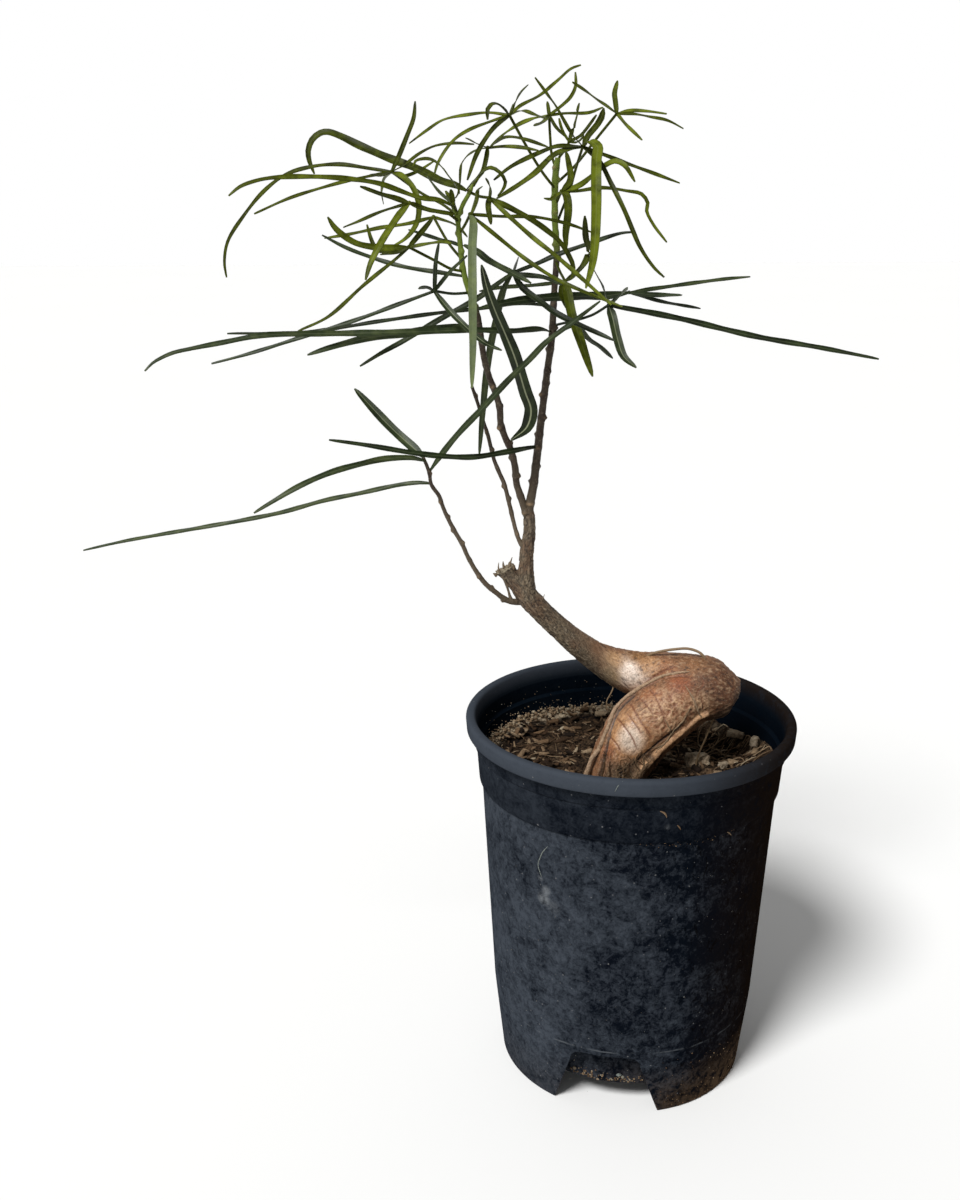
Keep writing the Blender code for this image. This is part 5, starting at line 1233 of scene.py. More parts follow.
def soil_mix(settings):
    """Shredded bark: dark between the crumbs, dry and dusty on them, paler in the crust along the wall, with
    painted shade in the gap inside the crust and in the hollow under the caudex.
    """
    finish = Finish("bark_mix", 0.95, 0.1)
    crumbs = finish.noise(0.0022, 6.0, 0.78, 0.8)
    colour = finish.ramp(crumbs, (0.42, settings.dark), (0.58, settings.dry), (0.74, MIX_DUSTY))
    # Painted shade in the gap inside the crust
    colour = finish.mix(finish.times(finish.attribute("gap"), 0.95), colour, MIX_GAP_SHADE)
    dusty = finish.times(finish.attribute("crust"), finish.span(crumbs, 0.34, 0.54))
    colour = finish.mix(dusty, colour, settings.crust)
    # Painted shade in the hollow under the caudex
    colour = finish.mix(finish.times(finish.attribute("hollow"), 0.95), colour, MIX_HOLLOW_SHADE)
    return finish.done(colour, finish.bump(crumbs, 0.0016))


def shaded_bits(name, top):
    """Loose chips, fibres and crumbs, each with its own shade from dark to pale."""
    finish = Finish(name, 0.9, 0.15)
    grain = finish.noise(0.0009, 4.0, 0.7)
    colour = finish.ramp(finish.attribute("shade"), *BIT_SHADES, (1.0, top))
    colour = finish.mix(finish.span(grain, 0.38, 0.62, 0.6, 0.0), colour, BIT_GRAIN, "MULTIPLY")
    return finish.done(colour, finish.bump(grain, 0.0006))


def tapered_block(length, width, height, taper, corner, segments):
    """A bevelled block with one end narrower by a taper."""
    bm = bmesh.new()
    bmesh.ops.create_cube(bm, size=1.0)
    for vert in bm.verts:
        share = taper if vert.co.x > 0 else 1.0
        vert.co = Vector((vert.co.x * length, vert.co.y * width * share, vert.co.z * height * share))
    bmesh.ops.bevel(bm, geom=bm.edges, offset=corner, segments=segments, profile=0.5, material=-1,
                    affect="EDGES")
    return bm


def tube_rings(centres, radii, sides, up=Vector((0.13, 0.99, 0.05))):
    """Round cross sections along a line, each square to it and untwisted."""
    rings = []
    for centre, along, radius in zip(centres, tangents(centres), radii):
        side = along.cross(up).normalized()
        up = side.cross(along).normalized()
        rings.append([centre + (side * math.cos(angle) + up * math.sin(angle)) * radius
                      for angle in [2 * math.pi * corner / sides for corner in range(sides)]])
    return rings


def tube(centres, radii, sides, value, layer="shade"):
    """A closed tube with one value all over it."""
    return loft(tube_rings(centres, radii, sides), {layer: [value] * len(centres)})


def resting_place(dice, margin):
    """A random place on the soil, inside the wall by a margin, from the pot's axis."""
    reach = (SOIL_EDGE - margin) * math.sqrt(dice.random())
    return way_of(dice.uniform(0.0, 2 * math.pi)) * reach


def on_soil(place, lift):
    """The place in the part's frame that is over the soil by a lift."""
    return AXIS + Vector((place.x, place.y, soil_height(place.x, place.y) + lift))


def loose_chip(dice):
    """One chip of bark: a bevelled block with a narrower end, lying on the soil."""
    length = 0.0014 + 0.0066 * dice.random() ** 1.7
    width = length * dice.uniform(0.22, 0.5)
    height = width * dice.uniform(0.45, 0.9)
    bm = tapered_block(length, width, height, dice.uniform(0.3, 0.85), CHIP_CORNER * height, 1)
    shaded(bm, dice.random() ** 1.2)
    place = resting_place(dice, 0.6 * length)
    roll = Matrix.Rotation(dice.gauss(0.0, 0.3), 3, "X")
    pitch = Matrix.Rotation(dice.gauss(0.0, 0.35), 3, "Y")
    turn = Matrix.Rotation(dice.uniform(0.0, 2 * math.pi), 3, "Z")
    return moved(bm, on_soil(place, 0.35 * height), turn @ roll @ pitch)


def lying_fibre(place, heading, bend, length, radius, steps, margin, lifts, shade):
    """A fibre that curves over the soil from a place, thickest in its middle and arched by the lifts."""
    points = []
    for index in range(steps):
        share = index / (steps - 1)
        if index:
            place = place + way_of(heading + bend * (share - 0.5)) * length / (steps - 1)
        if place.length > SOIL_EDGE - margin:
            place = place * ((SOIL_EDGE - margin) / place.length)
        points.append(on_soil(place, lifts[0] * math.sin(math.pi * share) + lifts[1]))
    radii = [radius * (1.1 - 0.7 * abs(2 * index / (steps - 1) - 1)) for index in range(steps)]
    return tube(points, radii, 5, shade)


def loose_fibre(dice):
    """One thin fibre of bark, curved and lying in the soil's surface."""
    length = dice.uniform(0.004, 0.016)
    place = resting_place(dice, 0.55 * length)
    heading = dice.uniform(0.0, 2 * math.pi)
    bend = dice.gauss(0.0, 1.3)
    radius = dice.uniform(0.00010, 0.00030)
    shade = 0.1 + 0.8 * dice.random() ** 1.8
    return lying_fibre(place, heading, bend, length, radius, 7, 0.0006, (0.0008, 0.0003), shade)


def matted_fibre(dice):
    """One long fibre of the mat that climbs the right of the wall."""
    length = dice.uniform(0.009, 0.022)
    heading = math.radians(dice.gauss(20.0, 28.0))
    bend = dice.gauss(0.0, 1.2)
    reach = SOIL_EDGE - 0.001 - 0.026 * dice.random() ** 1.3
    centre = way_of(math.radians(dice.uniform(-25.0, 48.0))) * reach
    radius = dice.uniform(0.00018, 0.00042)
    shade = min(1.0, 0.25 + 0.7 * dice.random())
    start = centre - 0.5 * length * way_of(heading)
    return lying_fibre(start, heading, bend, length, radius, 8, 0.0008, (0.0016, 0.0002), shade)


def wall_crumb(dice):
    """One crumb of the pale crust, stuck along the back and left of the wall."""
    radius = dice.uniform(0.0004, 0.0011)
    angle = dice.uniform(62.0, 172.0)
    high = dice.random() < 0.12
    if high:
        radius *= 0.45
    reach = SOIL_EDGE - 0.5 * radius - (0.0 if high else abs(dice.gauss(0.0, 0.0022)))
    rise = dice.uniform(0.001, 0.006) if high else max(-0.0003, dice.gauss(0.0006, 0.0009))
    place = on_soil(way_of(math.radians(angle)) * reach, rise)
    return crumb(dice, place, radius, dice.uniform(0.72, 1.0))


def soil_bed():
    """The mix in the pot: its uneven top, with values for the crust and for the painted shade in the gap
    inside it and in the hollow.
    """
    floor_top = FLOOR_UNDERSIDE + FLOOR + SOIL_GAP
    top = [(SOIL_EDGE * ring / SOIL_RINGS, SOIL_TOP) for ring in range(SOIL_RINGS + 1)]
    side = [(inner_radius(height) - SOIL_GAP, height + SOIL_GAP)
            for height in (BAND_BOTTOM, BAND_BOTTOM - 0.002, WALL_TURN, floor_top - SOIL_GAP)]
    bm = turned([*top, *side, (0.0, floor_top)], SOIL_STEPS)
    layers = {name: bm.verts.layers.float.new(name) for name in ("crust", "hollow", "gap")}
    for vert in bm.verts:
        if vert.co.z < SOIL_TOP - 0.0001:
            continue
        place = vert.co - AXIS
        place.z = 0.0
        from_wall = SOIL_EDGE - place.length
        crumbs = SOIL_CRUMB * rough(place, SOIL_CRUMB_SIZE, 3) * held(from_wall / 0.001)
        back = hump(math.degrees(math.atan2(place.y, place.x)) - CRUST_HEADING, CRUST_SPREAD)
        uneven = CRUST_UNEVEN * rough(place, 0.006, 2)
        gap = back * hump(from_wall - CRUST_GAP - uneven, CRUST_GAP_HALF)
        vert.co.z = soil_height(place.x, place.y) + crumbs - CRUST_GAP_DEPTH * gap
        vert[layers["crust"]] = back * held((CRUST_WIDTH + uneven - from_wall) / 0.0012)
        vert[layers["gap"]] = gap
        vert[layers["hollow"]] = hump((place - SOIL_HOLLOW).length, HOLLOW_SHADE_REACH)
    return bm


class BOTTLETREE_OT_soil(Operator):
    """Builds the bark mix with its crust, loose chips, fibres and crumbs"""
    bl_idname = "bottle_tree.soil"
    bl_label = "Build Bark Mix"

    def execute(self, context):
        settings = context.scene.bottle_tree_soil
        soil = plain_object("soil_bed", soil_bed())
        cut(soil, recess_cutters(WALL + SOIL_GAP))
        finish_piece(soil, [soil_mix(settings)], "bark_mix", "soil")

        dice = random.Random(settings.seed)
        loose = bmesh.new()
        for make, count in ((loose_chip, settings.chips), (loose_fibre, settings.fibres),
                            (matted_fibre, settings.fibres // 3), (wall_crumb, settings.crumbs)):
            for _ in range(count):
                gather(loose, make(dice))
        finish_piece(plain_object("soil_litter", loose), [shaded_bits("loose_bark", SOIL_BITS)], "bark_mix",
                     "soil")
        return {"FINISHED"}


def chip_skin(name, colours, size):
    """Dusty bark or grit in three colours, with grain of one size."""
    finish = Finish(name, 0.9, 0.25)
    grain = finish.noise(size, 6.0, 0.7, 0.8)
    fine = finish.noise(size / 6, 3.0, 0.6)
    colour = finish.ramp(grain, (0.34, colours[0]), (0.52, colours[1]), (0.70, colours[2]))
    colour = finish.mix(finish.span(fine, 0.3, 0.7, 0.0, 0.35), colour, CHIP_GRAIN, "MULTIPLY")
    return finish.done(colour, finish.bump(grain, 0.0008, finish.bump(fine, 0.0003)))


class BOTTLETREE_OT_stones(Operator):
    """Builds the larger pieces of bark and pale grit on the soil"""
    bl_idname = "bottle_tree.stones"
    bl_label = "Build Stones"

    def execute(self, context):
        bark = chip_skin("bark_lump", CHIP_LOOKS["bark"], 0.004)
        grit = chip_skin("pale_grit", CHIP_LOOKS["grit"], 0.003)
        for index, (name, centre, size, turn) in enumerate(CHIPS):
            length, width, height = (value * MM for value in size)
            shortest = min(length, width, height)
            bm = tapered_block(length, width, height, 0.82, CHIP_CORNER * shortest, 3)
            bmesh.ops.subdivide_edges(bm, edges=bm.edges, cuts=5, use_grid_fill=True)
            bmesh.ops.triangulate(bm, faces=[face for face in bm.faces if len(face.verts) > 4])
            for vert in bm.verts:
                seen = vert.co + Vector((index, 0.0, 0.0))
                dent = abs(rough(seen, 0.45 * shortest, 2)) + 0.5 * abs(rough(seen, 0.12 * shortest, 2))
                vert.co *= 1.0 - CHIP_DENT * dent
            moved(bm, AXIS + Vector(centre) * MM, Matrix.Rotation(math.radians(turn), 3, "Z"))
            material, slot = (bark, "loose_bark") if name.startswith("bark") else (grit, "pale_stone")
            finish_piece(plain_object(name + "_rock", bm), [material], slot, name)
        return {"FINISHED"}


def limb_rings(points, keels, sides, step):
    """Cross sections of a thick limb: broad keels as on the solid, and a narrow crest on each."""
    centres, radii = line_of(points, step)
    rings = []
    for centre, radius, along in zip(centres, radii, tangents(centres)):
        up = Vector((0.0, -1.0, 0.0)).cross(along).normalized()
        forward = along.cross(up).normalized()
        ring = []
        for corner in range(sides):
            angle = 2 * math.pi * corner / sides
            offsets = [wrapped(angle - keel) for keel in keels]
            swell = sum(hump(offset, KEEL_WIDTH) for offset in offsets)
            crest = sum(hump(offset, CREST_WIDTH) for offset in offsets)
            reach = radius * (1 + KEEL_HEIGHT * swell) + CREST_HEIGHT * crest
            ring.append(centre + (forward * math.cos(angle) + up * math.sin(angle)) * reach)
        rings.append(ring)
    return rings


def stem_rings(points, sides, step, dice, buds=True):
    """Cross sections of a thin stem, swollen on one side at each bud, and how scarred each corner is."""
    centres, radii = line_of(points, step)
    gone = distances(centres)
    spots = []
    travelled = dice.uniform(0.3, 0.7) * BUD_SPACING
    heading = dice.uniform(0.0, 2 * math.pi)
    while buds and travelled < gone[-1]:
        spots.append((travelled, heading, dice.random()))
        travelled += BUD_SPACING * dice.uniform(0.55, 1.25)
        heading += 2.4 + dice.gauss(0.0, 0.4)
    rings = []
    scars = []
    for ring, centre, along in zip(tube_rings(centres, radii, sides), centres, gone):
        near = [spot for spot in spots if abs(along - spot[0]) < 0.004]
        new_ring = []
        scar = []
        for corner, place in enumerate(ring):
            angle = 2 * math.pi * corner / sides
            swell = sum(hump(along - at, BUD_LENGTH) * (0.15 + 1.1 * hump(wrapped(angle - facing), 0.7))
                        for at, facing, _ in near)
            uneven = 0.07 * rough(place, 0.003, 2)
            new_ring.append(centre + (place - centre) * (1 + BUD_SWELL * swell + uneven))
            scar.append(max([hump(along - at, SCAR_LENGTH) * hump(wrapped(angle - facing), 0.6) * pale
                             for at, facing, pale in near], default=0.0))
        rings.append(new_ring)
        scars.append(scar)
    return rings, scars


def search_tree(samples):
    """A search tree of samples that each start with their place."""
    tree = KDTree(len(samples))
    for index, sample in enumerate(samples):
        tree.insert(sample[0], index)
    tree.balance()
    return tree


def skin_guide(skin):
    """Points along the lines, laid on the caudex's skin, with each point's line and strength."""
    samples = []
    for index, line in enumerate(SKIN_LINES):
        centres = [skin.find_nearest(centre)[0] for centre in line_of(line[3], 0.0004)[0]]
        gone = distances(centres)
        for centre, way in zip(centres, gone):
            fade = min(1.0, way / 0.003, (gone[-1] - way) / 0.003)
            samples.append((centre, index, 0.15 + 0.85 * fade))
    return search_tree(samples), samples


def skin_marks(place, tree, samples):
    """What the lines on the skin do at a place: its lift, and the colours they lay on it, with shares."""
    nearest = {}
    for _, index, distance in tree.find_range(place, SKIN_REACH):
        _, line, strength = samples[index]
        if line not in nearest or distance < nearest[line][0]:
            nearest[line] = (distance, strength)
    lift = 0.0
    colours = []
    for line, (distance, strength) in sorted(nearest.items()):
        height, width, colour, _ = SKIN_LINES[line]
        share = hump(distance, width * MM) * strength
        lift += height * MM * share
        colours.append((min(1.0, 1.15 * share), colour))
    return lift, colours


def zone_share(place, name):
    """How far a place, in millimetres from the axis, belongs to one kind of skin."""
    share = 0.0
    for centre, reach in SKIN_ZONES[name]:
        share = max(share, held(1.6 - 1.6 * (place - Vector(centre)).length / reach))
    return share


def limb_guide():
    """Points along the thick limbs, with each point's limb, directions and way along it."""
    samples = []
    for name, points in (("front", FRONT_LIMB), ("rear", REAR_LIMB), ("top", TRUNK_TOP)):
        centres, _ = line_of(points, 0.001)
        for centre, along, way in zip(centres, tangents(centres), distances(centres)):
            up = Vector((0.0, -1.0, 0.0)).cross(along).normalized()
            samples.append((centre, name, along, up, along.cross(up).normalized(), way))
    return search_tree(samples), samples


def grain_of(place, tree, samples):
    """Where a place lies on its limb, across and along the grain, and how grey its bark is."""
    centre, name, along, up, forward, way = samples[tree.find(place)[1]]
    seen = (place - AXIS) / MM
    grey = 1.0 if name == "top" else 0.0
    if name == "rear":
        grey = held((-7.0 - seen.x + 0.6 * (222.0 - seen.z)) / 14.0)
    offset = place - centre
    reached = way + offset.dot(along)
    return Vector((offset.dot(forward), offset.dot(up), reached * (1.0 - 0.68 * grey))), grey


def patch_tone(seen, bark):
    """The colour and gloss that the patches lay on the bark at a place in millimetres, with their painted
    highlights and painted shade.
    """
    tone = Vector(bark)
    gloss = 0.5
    for centre, reach, colour, shine in SKIN_TONES:
        share = held(1.7 - 1.7 * (seen - Vector(centre)).length / reach)
        tone = tone.lerp(Vector(colour), share)
        gloss += (shine - gloss) * share
    return tone, gloss


def trunk_flakes(place, warped, fine, settings):
    """The colour and height of the flaked grey bark at a place on the trunk."""
    near, points = noise.voronoi(warped / FLAKE_SIZE)
    flake = held(0.5 + 0.8 * noise.noise(points[0] * 3.7))
    crack = hump(near[1] - near[0], 0.12)
    tone = Vector(settings.dark_bark).lerp(Vector(settings.old_bark), flake)
    tone = tone.lerp(Vector(settings.pale_bark) * 0.45, max(0.0, fine) * flake)
    tone = tone.lerp(RED_BARK, 0.5 * held(3 * noise.noise(place / 0.009)))
    return tone * (1.0 - 0.7 * crack), flake - 0.5 - 0.7 * crack


def bark_at(place, grain_place, grey, settings):
    """The bark's colour, gloss and height at a place: netted, smooth, flecked, flaked or fibrous."""
    seen = place / MM
    smooth = zone_share(seen, "smooth")
    fibrous = zone_share(seen, "fibrous")
    net = zone_share(seen, "net") * (1.0 - 0.6 * smooth)
    plain = (1.0 - grey) * (1.0 - net) * (1.0 - 0.8 * smooth) * (1.0 - fibrous)
    warped = grain_place + 0.0007 * noise.noise_vector(place / 0.003)
    fine = rough(grain_place, 0.0011, 3)
    pale = Vector(settings.pale_bark)
    tone, gloss = patch_tone(seen, settings.bark)
    tone = tone * (1.0 + (0.32 + 0.3 * grey) * fine + 0.22 * rough(place, 0.007, 2))
    height = 0.35 * rough(place, 0.008, 3) + 0.30 * fine * (1.0 - 0.75 * smooth)

    broad, narrow = (hump(noise.noise(warped / size), 0.2) for size in VEIN_SIZES)
    veins = 0.65 * broad + 0.45 * narrow
    tone = (tone * (1.0 - 0.15 * net)).lerp(pale, 0.62 * net * veins)
    height += net * 1.3 * (veins - 0.4)
    fleck = noise.noise(Vector((warped.x, warped.y, 0.45 * warped.z)) / FLECK_SIZE)
    bright = held(4 * fleck - 0.9)
    pit = held(-4 * fleck - 1.1)
    tone = tone.lerp(pale * 0.6, 0.38 * plain * bright) * (1.0 - 0.6 * plain * pit)
    height += plain * (0.5 * bright - 0.5 * pit)
    if grey > 0.0:
        flaked, flake_height = trunk_flakes(place, warped, fine, settings)
        tone = tone.lerp(flaked, grey)
        gloss -= 0.45 * gloss * grey
        height += grey * flake_height
    if fibrous > 0.0:
        streak = rough(Vector((place.x, place.y, 0.22 * place.z)), STREAK_SIZE, 3)
        tone = tone * (1.0 + 0.9 * fibrous * streak)
        height += 1.2 * fibrous * streak
    return tone, gloss, height


def caudex_bark():
    """Bark that takes its colours and gloss from the mesh, broken up by fine grain."""
    finish = Finish("caudex_bark", 0.6, 0.5)
    along_grain = finish.attribute("grain_place", "Vector")
    grain = finish.noise(0.0008, 4.0, 0.72, 0.3, along_grain)
    tone = finish.attribute("tone", "Color")
    gloss = finish.attribute("gloss")
    colour = finish.mix(finish.span(grain, 0.52, 0.36, 0.0, 0.75), tone, BARK_PIT, "MULTIPLY")
    colour = finish.mix(finish.span(grain, 0.54, 0.74, 0.0, 0.30), colour, BARK_CREST)
    fine = finish.times(grain, finish.span(gloss, 0.0, 1.0, 1.0, 0.35))
    return finish.done(colour, finish.bump(fine, 0.0006), finish.span(gloss, 0.0, 1.0, 0.85, 0.34))


def stem_bark(settings):
    """Thin brown bark: greyer on old wood, with pale scars, turning green on the youngest wood."""
    finish = Finish("stem_bark", 0.6, 0.3)
    grain = finish.noise(0.0012, 4.0, 0.65)
    patch = finish.noise(0.005, 3.0, 0.6)
    colour = finish.mix(finish.span(patch, 0.4, 0.62), settings.stem_bark, STEM_PATCH)
    colour = finish.mix(finish.attribute("old"), colour, STEM_OLD)
    colour = finish.mix(finish.span(grain, 0.54, 0.74, 0.0, 0.6), colour, STEM_FLECK)
    colour = finish.mix(finish.attribute("green"), colour, STEM_GREEN)
    colour = finish.mix(finish.attribute("pale"), colour, STEM_SCAR)
    return finish.done(colour, finish.bump(grain, 0.0003))


def cut_trunk(bm):
    """Slides what lies past the trunk's cut back along the trunk, on to the cut."""
    place = AXIS + CUT_PLACE * MM
    along = (Vector(to_part(REAR_LIMB)[-1][:3]) - Vector(to_part(REAR_LIMB)[-2][:3])).normalized()
    for vert in bm.verts:
        past = (vert.co - place).dot(CUT_FACE)
        if past > 0.0:
            vert.co -= along * (past / along.dot(CUT_FACE))


def torn_cut(vert, tone):
    """Flares and frays the rim of the trunk's cut, hollows the cut and pales its wood."""
    offset = vert.co - AXIS - CUT_PLACE * MM
    depth = offset.dot(CUT_FACE)
    radial = offset - CUT_FACE * depth
    share = min(1.0, 1.0 + depth / 0.003)
    if share < 0.0 or radial.length > 0.9 * CUT_REACH or offset.length > CUT_REACH:
        return tone
    rim = min(1.0, radial.length / (CUT_HALF * MM))
    outward = radial.normalized()
    jag = rough(outward * 0.004 + Vector((0.0, 0.0, 0.05)), 0.0016, 3)
    vert.co += outward * (0.0007 * share ** 2 * rim * (0.7 + 0.8 * jag))
    vert.co += CUT_FACE * (0.0013 * share * rim ** 4 * jag - 0.0014 * share * (1 - rim ** 2))
    wood = held((depth + 0.0008) / 0.0006) * (1.0 - rim ** 6)
    return tone.lerp(CUT_WOOD, 0.85 * wood)


def limb_skin(voxel):
    """The thick limbs, the trunk and the low keel, joined under one fine skin."""
    whole = bmesh.new()
    for points, keels, sides in ((FRONT_LIMB, KEEL_ANGLES, 120), (REAR_LIMB, (), 96), (TRUNK_TOP, (), 48),
                                 (LOW_KEEL, (), 24)):
        limb = loft(limb_rings(points, keels, sides, 0.002))
        if points is REAR_LIMB:
            cut_trunk(limb)
        gather(whole, limb)
    caudex = plain_object("caudex", whole)
    remesh = caudex.modifiers.new("skin", "REMESH")
    remesh.mode = "VOXEL"
    remesh.voxel_size = voxel
    settle(caudex)
    return caudex


def bark_skin(caudex, settings):
    """Lays the bark's colours, gloss, grain and relief on the skin, and gives a search tree of its faces."""
    noise.seed_set(WARP_SEED)
    limbs, limb_samples = limb_guide()
    bm = bmesh.new()
    bm.from_mesh(caudex.data)
    bmesh.ops.smooth_vert(bm, verts=bm.verts, factor=0.5, use_axis_x=True, use_axis_y=True, use_axis_z=True)
    bm.normal_update()
    lines, line_samples = skin_guide(BVHTree.FromBMesh(bm))
    tone_layer = bm.verts.layers.float_color.new("tone")
    gloss_layer = bm.verts.layers.float.new("gloss")
    grain_layer = bm.verts.layers.float_vector.new("grain_place")
    lifts = []
    for vert in bm.verts:
        grain_place, grey = grain_of(vert.co, limbs, limb_samples)
        tone, gloss, height = bark_at(vert.co - AXIS, grain_place, grey, settings)
        lift, colours = skin_marks(vert.co, lines, line_samples)
        for share, colour in colours:
            tone = tone.lerp(Vector(colour), share)
        tone = torn_cut(vert, tone * CAUDEX_TINT.lerp(TRUNK_TINT, grey))
        vert[tone_layer] = (*(max(0.004, value) for value in tone), 1.0)
        vert[gloss_layer] = gloss
        vert[grain_layer] = grain_place
        lifts.append(settings.relief * height + lift)
    for vert, lift in zip(bm.verts, lifts):
        vert.co += vert.normal * lift
    bm.to_mesh(caudex.data)
    tree = BVHTree.FromBMesh(bm)
    bm.free()
    return tree


def snapped(route, tree, radii, free=0.0):
    """A route with the points past its free length moved to the nearest places on the caudex."""
    laid = []
    for point, radius, way in zip(route, radii, distances(route)):
        near, normal, _, _ = tree.find_nearest(point)
        laid.append(point.lerp(near + normal * 0.4 * radius, held(1.0 + (way - free) / 0.006)))
    return laid


def foot_fibre(dice, tree):
    """One fibre that hangs down the front of the caudex's foot."""
    x = dice.uniform(-20.0, 14.0)
    top = 190.0 - 0.5 * abs(x - 2.0) - dice.uniform(2.0, 16.0)
    sway = dice.gauss(0.0, 0.35)
    length = dice.uniform(5.0, 13.0)
    radius = dice.uniform(0.12, 0.28) * MM
    points = [(x + sway * length * share + dice.gauss(0.0, 0.5), -30, top - length * share)
              for share in (0.0, 0.25, 0.5, 0.75, 1.0)]
    route, _ = line_of(points, 0.0012)
    laid = snapped(route, tree, [radius] * len(route))
    last = len(laid) - 1
    radii = [radius * (1.0 - 0.7 * abs(2 * index / last - 1) ** 3) for index in range(last + 1)]
    return tube(laid, radii, 5, dice.uniform(0.4, 0.85))


def root_cords(tree, fibres):
    """The cords of root laid on the caudex's skin, and the fibres on its foot."""
    dice = random.Random(CORD_SEED)
    cords = bmesh.new()
    for shade, free, points in CORDS:
        centres, radii = line_of(points, 0.0008)
        radii = [radius * (1.0 + 0.25 * rough(centre, 0.003, 2)) for centre, radius in zip(centres, radii)]
        gather(cords, tube(snapped(centres, tree, radii, free * MM), radii, 10, shade))
    for _ in range(fibres):
        gather(cords, foot_fibre(dice, tree))
    return cords


class BOTTLETREE_OT_caudex(Operator):
    """Builds the folded caudex and the trunk as one skin of bark, with the cords of root on it"""
    bl_idname = "bottle_tree.caudex"
    bl_label = "Build Caudex"

    def execute(self, context):
        settings = context.scene.bottle_tree_wood
        caudex = limb_skin(settings.voxel)
        tree = bark_skin(caudex, settings)
        finish_piece(caudex, [caudex_bark()], "plant_bark", "wood")
        cords = plain_object("caudex_cords", root_cords(tree, settings.fibres))
        finish_piece(cords, [shaded_bits("root_cords", CORD_BITS)], "plant_bark", "wood")
        return {"FINISHED"}


class BOTTLETREE_OT_stems(Operator):
    """Builds the thin stems, the twigs, the torn bark of the cut end and the roots in the open"""
    bl_idname = "bottle_tree.stems"
    bl_label = "Build Stems"

    def execute(self, context):
        material = stem_bark(context.scene.bottle_tree_wood)
        dice = random.Random(STEM_SEED)
        for name, points, sides, green_from in STEMS:
            is_root = "root" in name
            rings, scars = stem_rings(points, sides, 0.0006, dice, not is_root)
            heights = [ring[0].z / MM for ring in rings]
            old = [0.0 if is_root else held((OLD_BELOW - height) / OLD_FADE) for height in heights]
            values = {"green": [held((height - green_from) / GREEN_FADE) for height in heights],
                      "old": old, "pale": [0.6 if is_root else scar for scar in scars]}
            finish_piece(plain_object(name + "_bark", loft(rings, values)), [material], "plant_bark", "wood")
        torn = bmesh.new()
        for points in SPLINTERS:
            rings, scars = stem_rings(points, 7, 0.0005, dice, False)
            gather(torn, loft(rings, {"green": scars, "old": [1.0] * len(rings), "pale": [0.2] * len(rings)}))
        finish_piece(plain_object("torn_bark", torn), [material], "plant_bark", "wood")
        return {"FINISHED"}


def leaf_skin(name, colour, bright, under, rib, specular):
    """A leaf blade: a pale rib, darker and brighter patches, a greyer underside and a waxy bloom on a few."""
    finish = Finish(name, 0.42, specular)
    across = finish.math("ABSOLUTE", finish.attribute("across"))
    tint = finish.attribute("tint")
    cloud = finish.noise(0.007, 3.0, 0.6)
    fine = finish.noise(0.0011, 3.0, 0.6)
    dark = [0.42 * value for value in colour]
    shade = finish.plus(cloud, finish.plus(finish.times(tint, 0.22), -0.5))
    face = finish.mix(finish.span(shade, -0.02, -0.20), colour, dark)
    face = finish.mix(finish.span(shade, 0.02, 0.24), face, bright)
    face = finish.mix(finish.span(across, 0.75, 1.0, 0.0, 0.35), face, dark)
    face = finish.mix(finish.attribute("under"), face, under)
    ribbed = finish.times(finish.span(across, 0.16, 0.05), finish.attribute("rib"))
    face = finish.mix(ribbed, face, rib)
    waxy = finish.times(finish.attribute("wax"), finish.span(fine, 0.34, 0.56, 0.75, 1.0))
    face = finish.mix(waxy, face, LEAF_BLOOM)
    return finish.done(face, finish.bump(fine, 0.0001))


def blade_width(share, width, length):
    """Width along a narrow leaf: a thin base, nearly even sides and a short point."""
    widest = min(WIDEST, BASE_LENGTH / length)
    if share < widest:
        rise = math.sin(0.5 * math.pi * share / widest)
        return BASE_WIDTH + (width - BASE_WIDTH) * rise
    left = 1 - ((share - widest) / (1 - widest)) ** TIP_BLUNTNESS
    return TIP_WIDTH + (width - TIP_WIDTH) * max(left, 0.0) ** TIP_ROUNDING


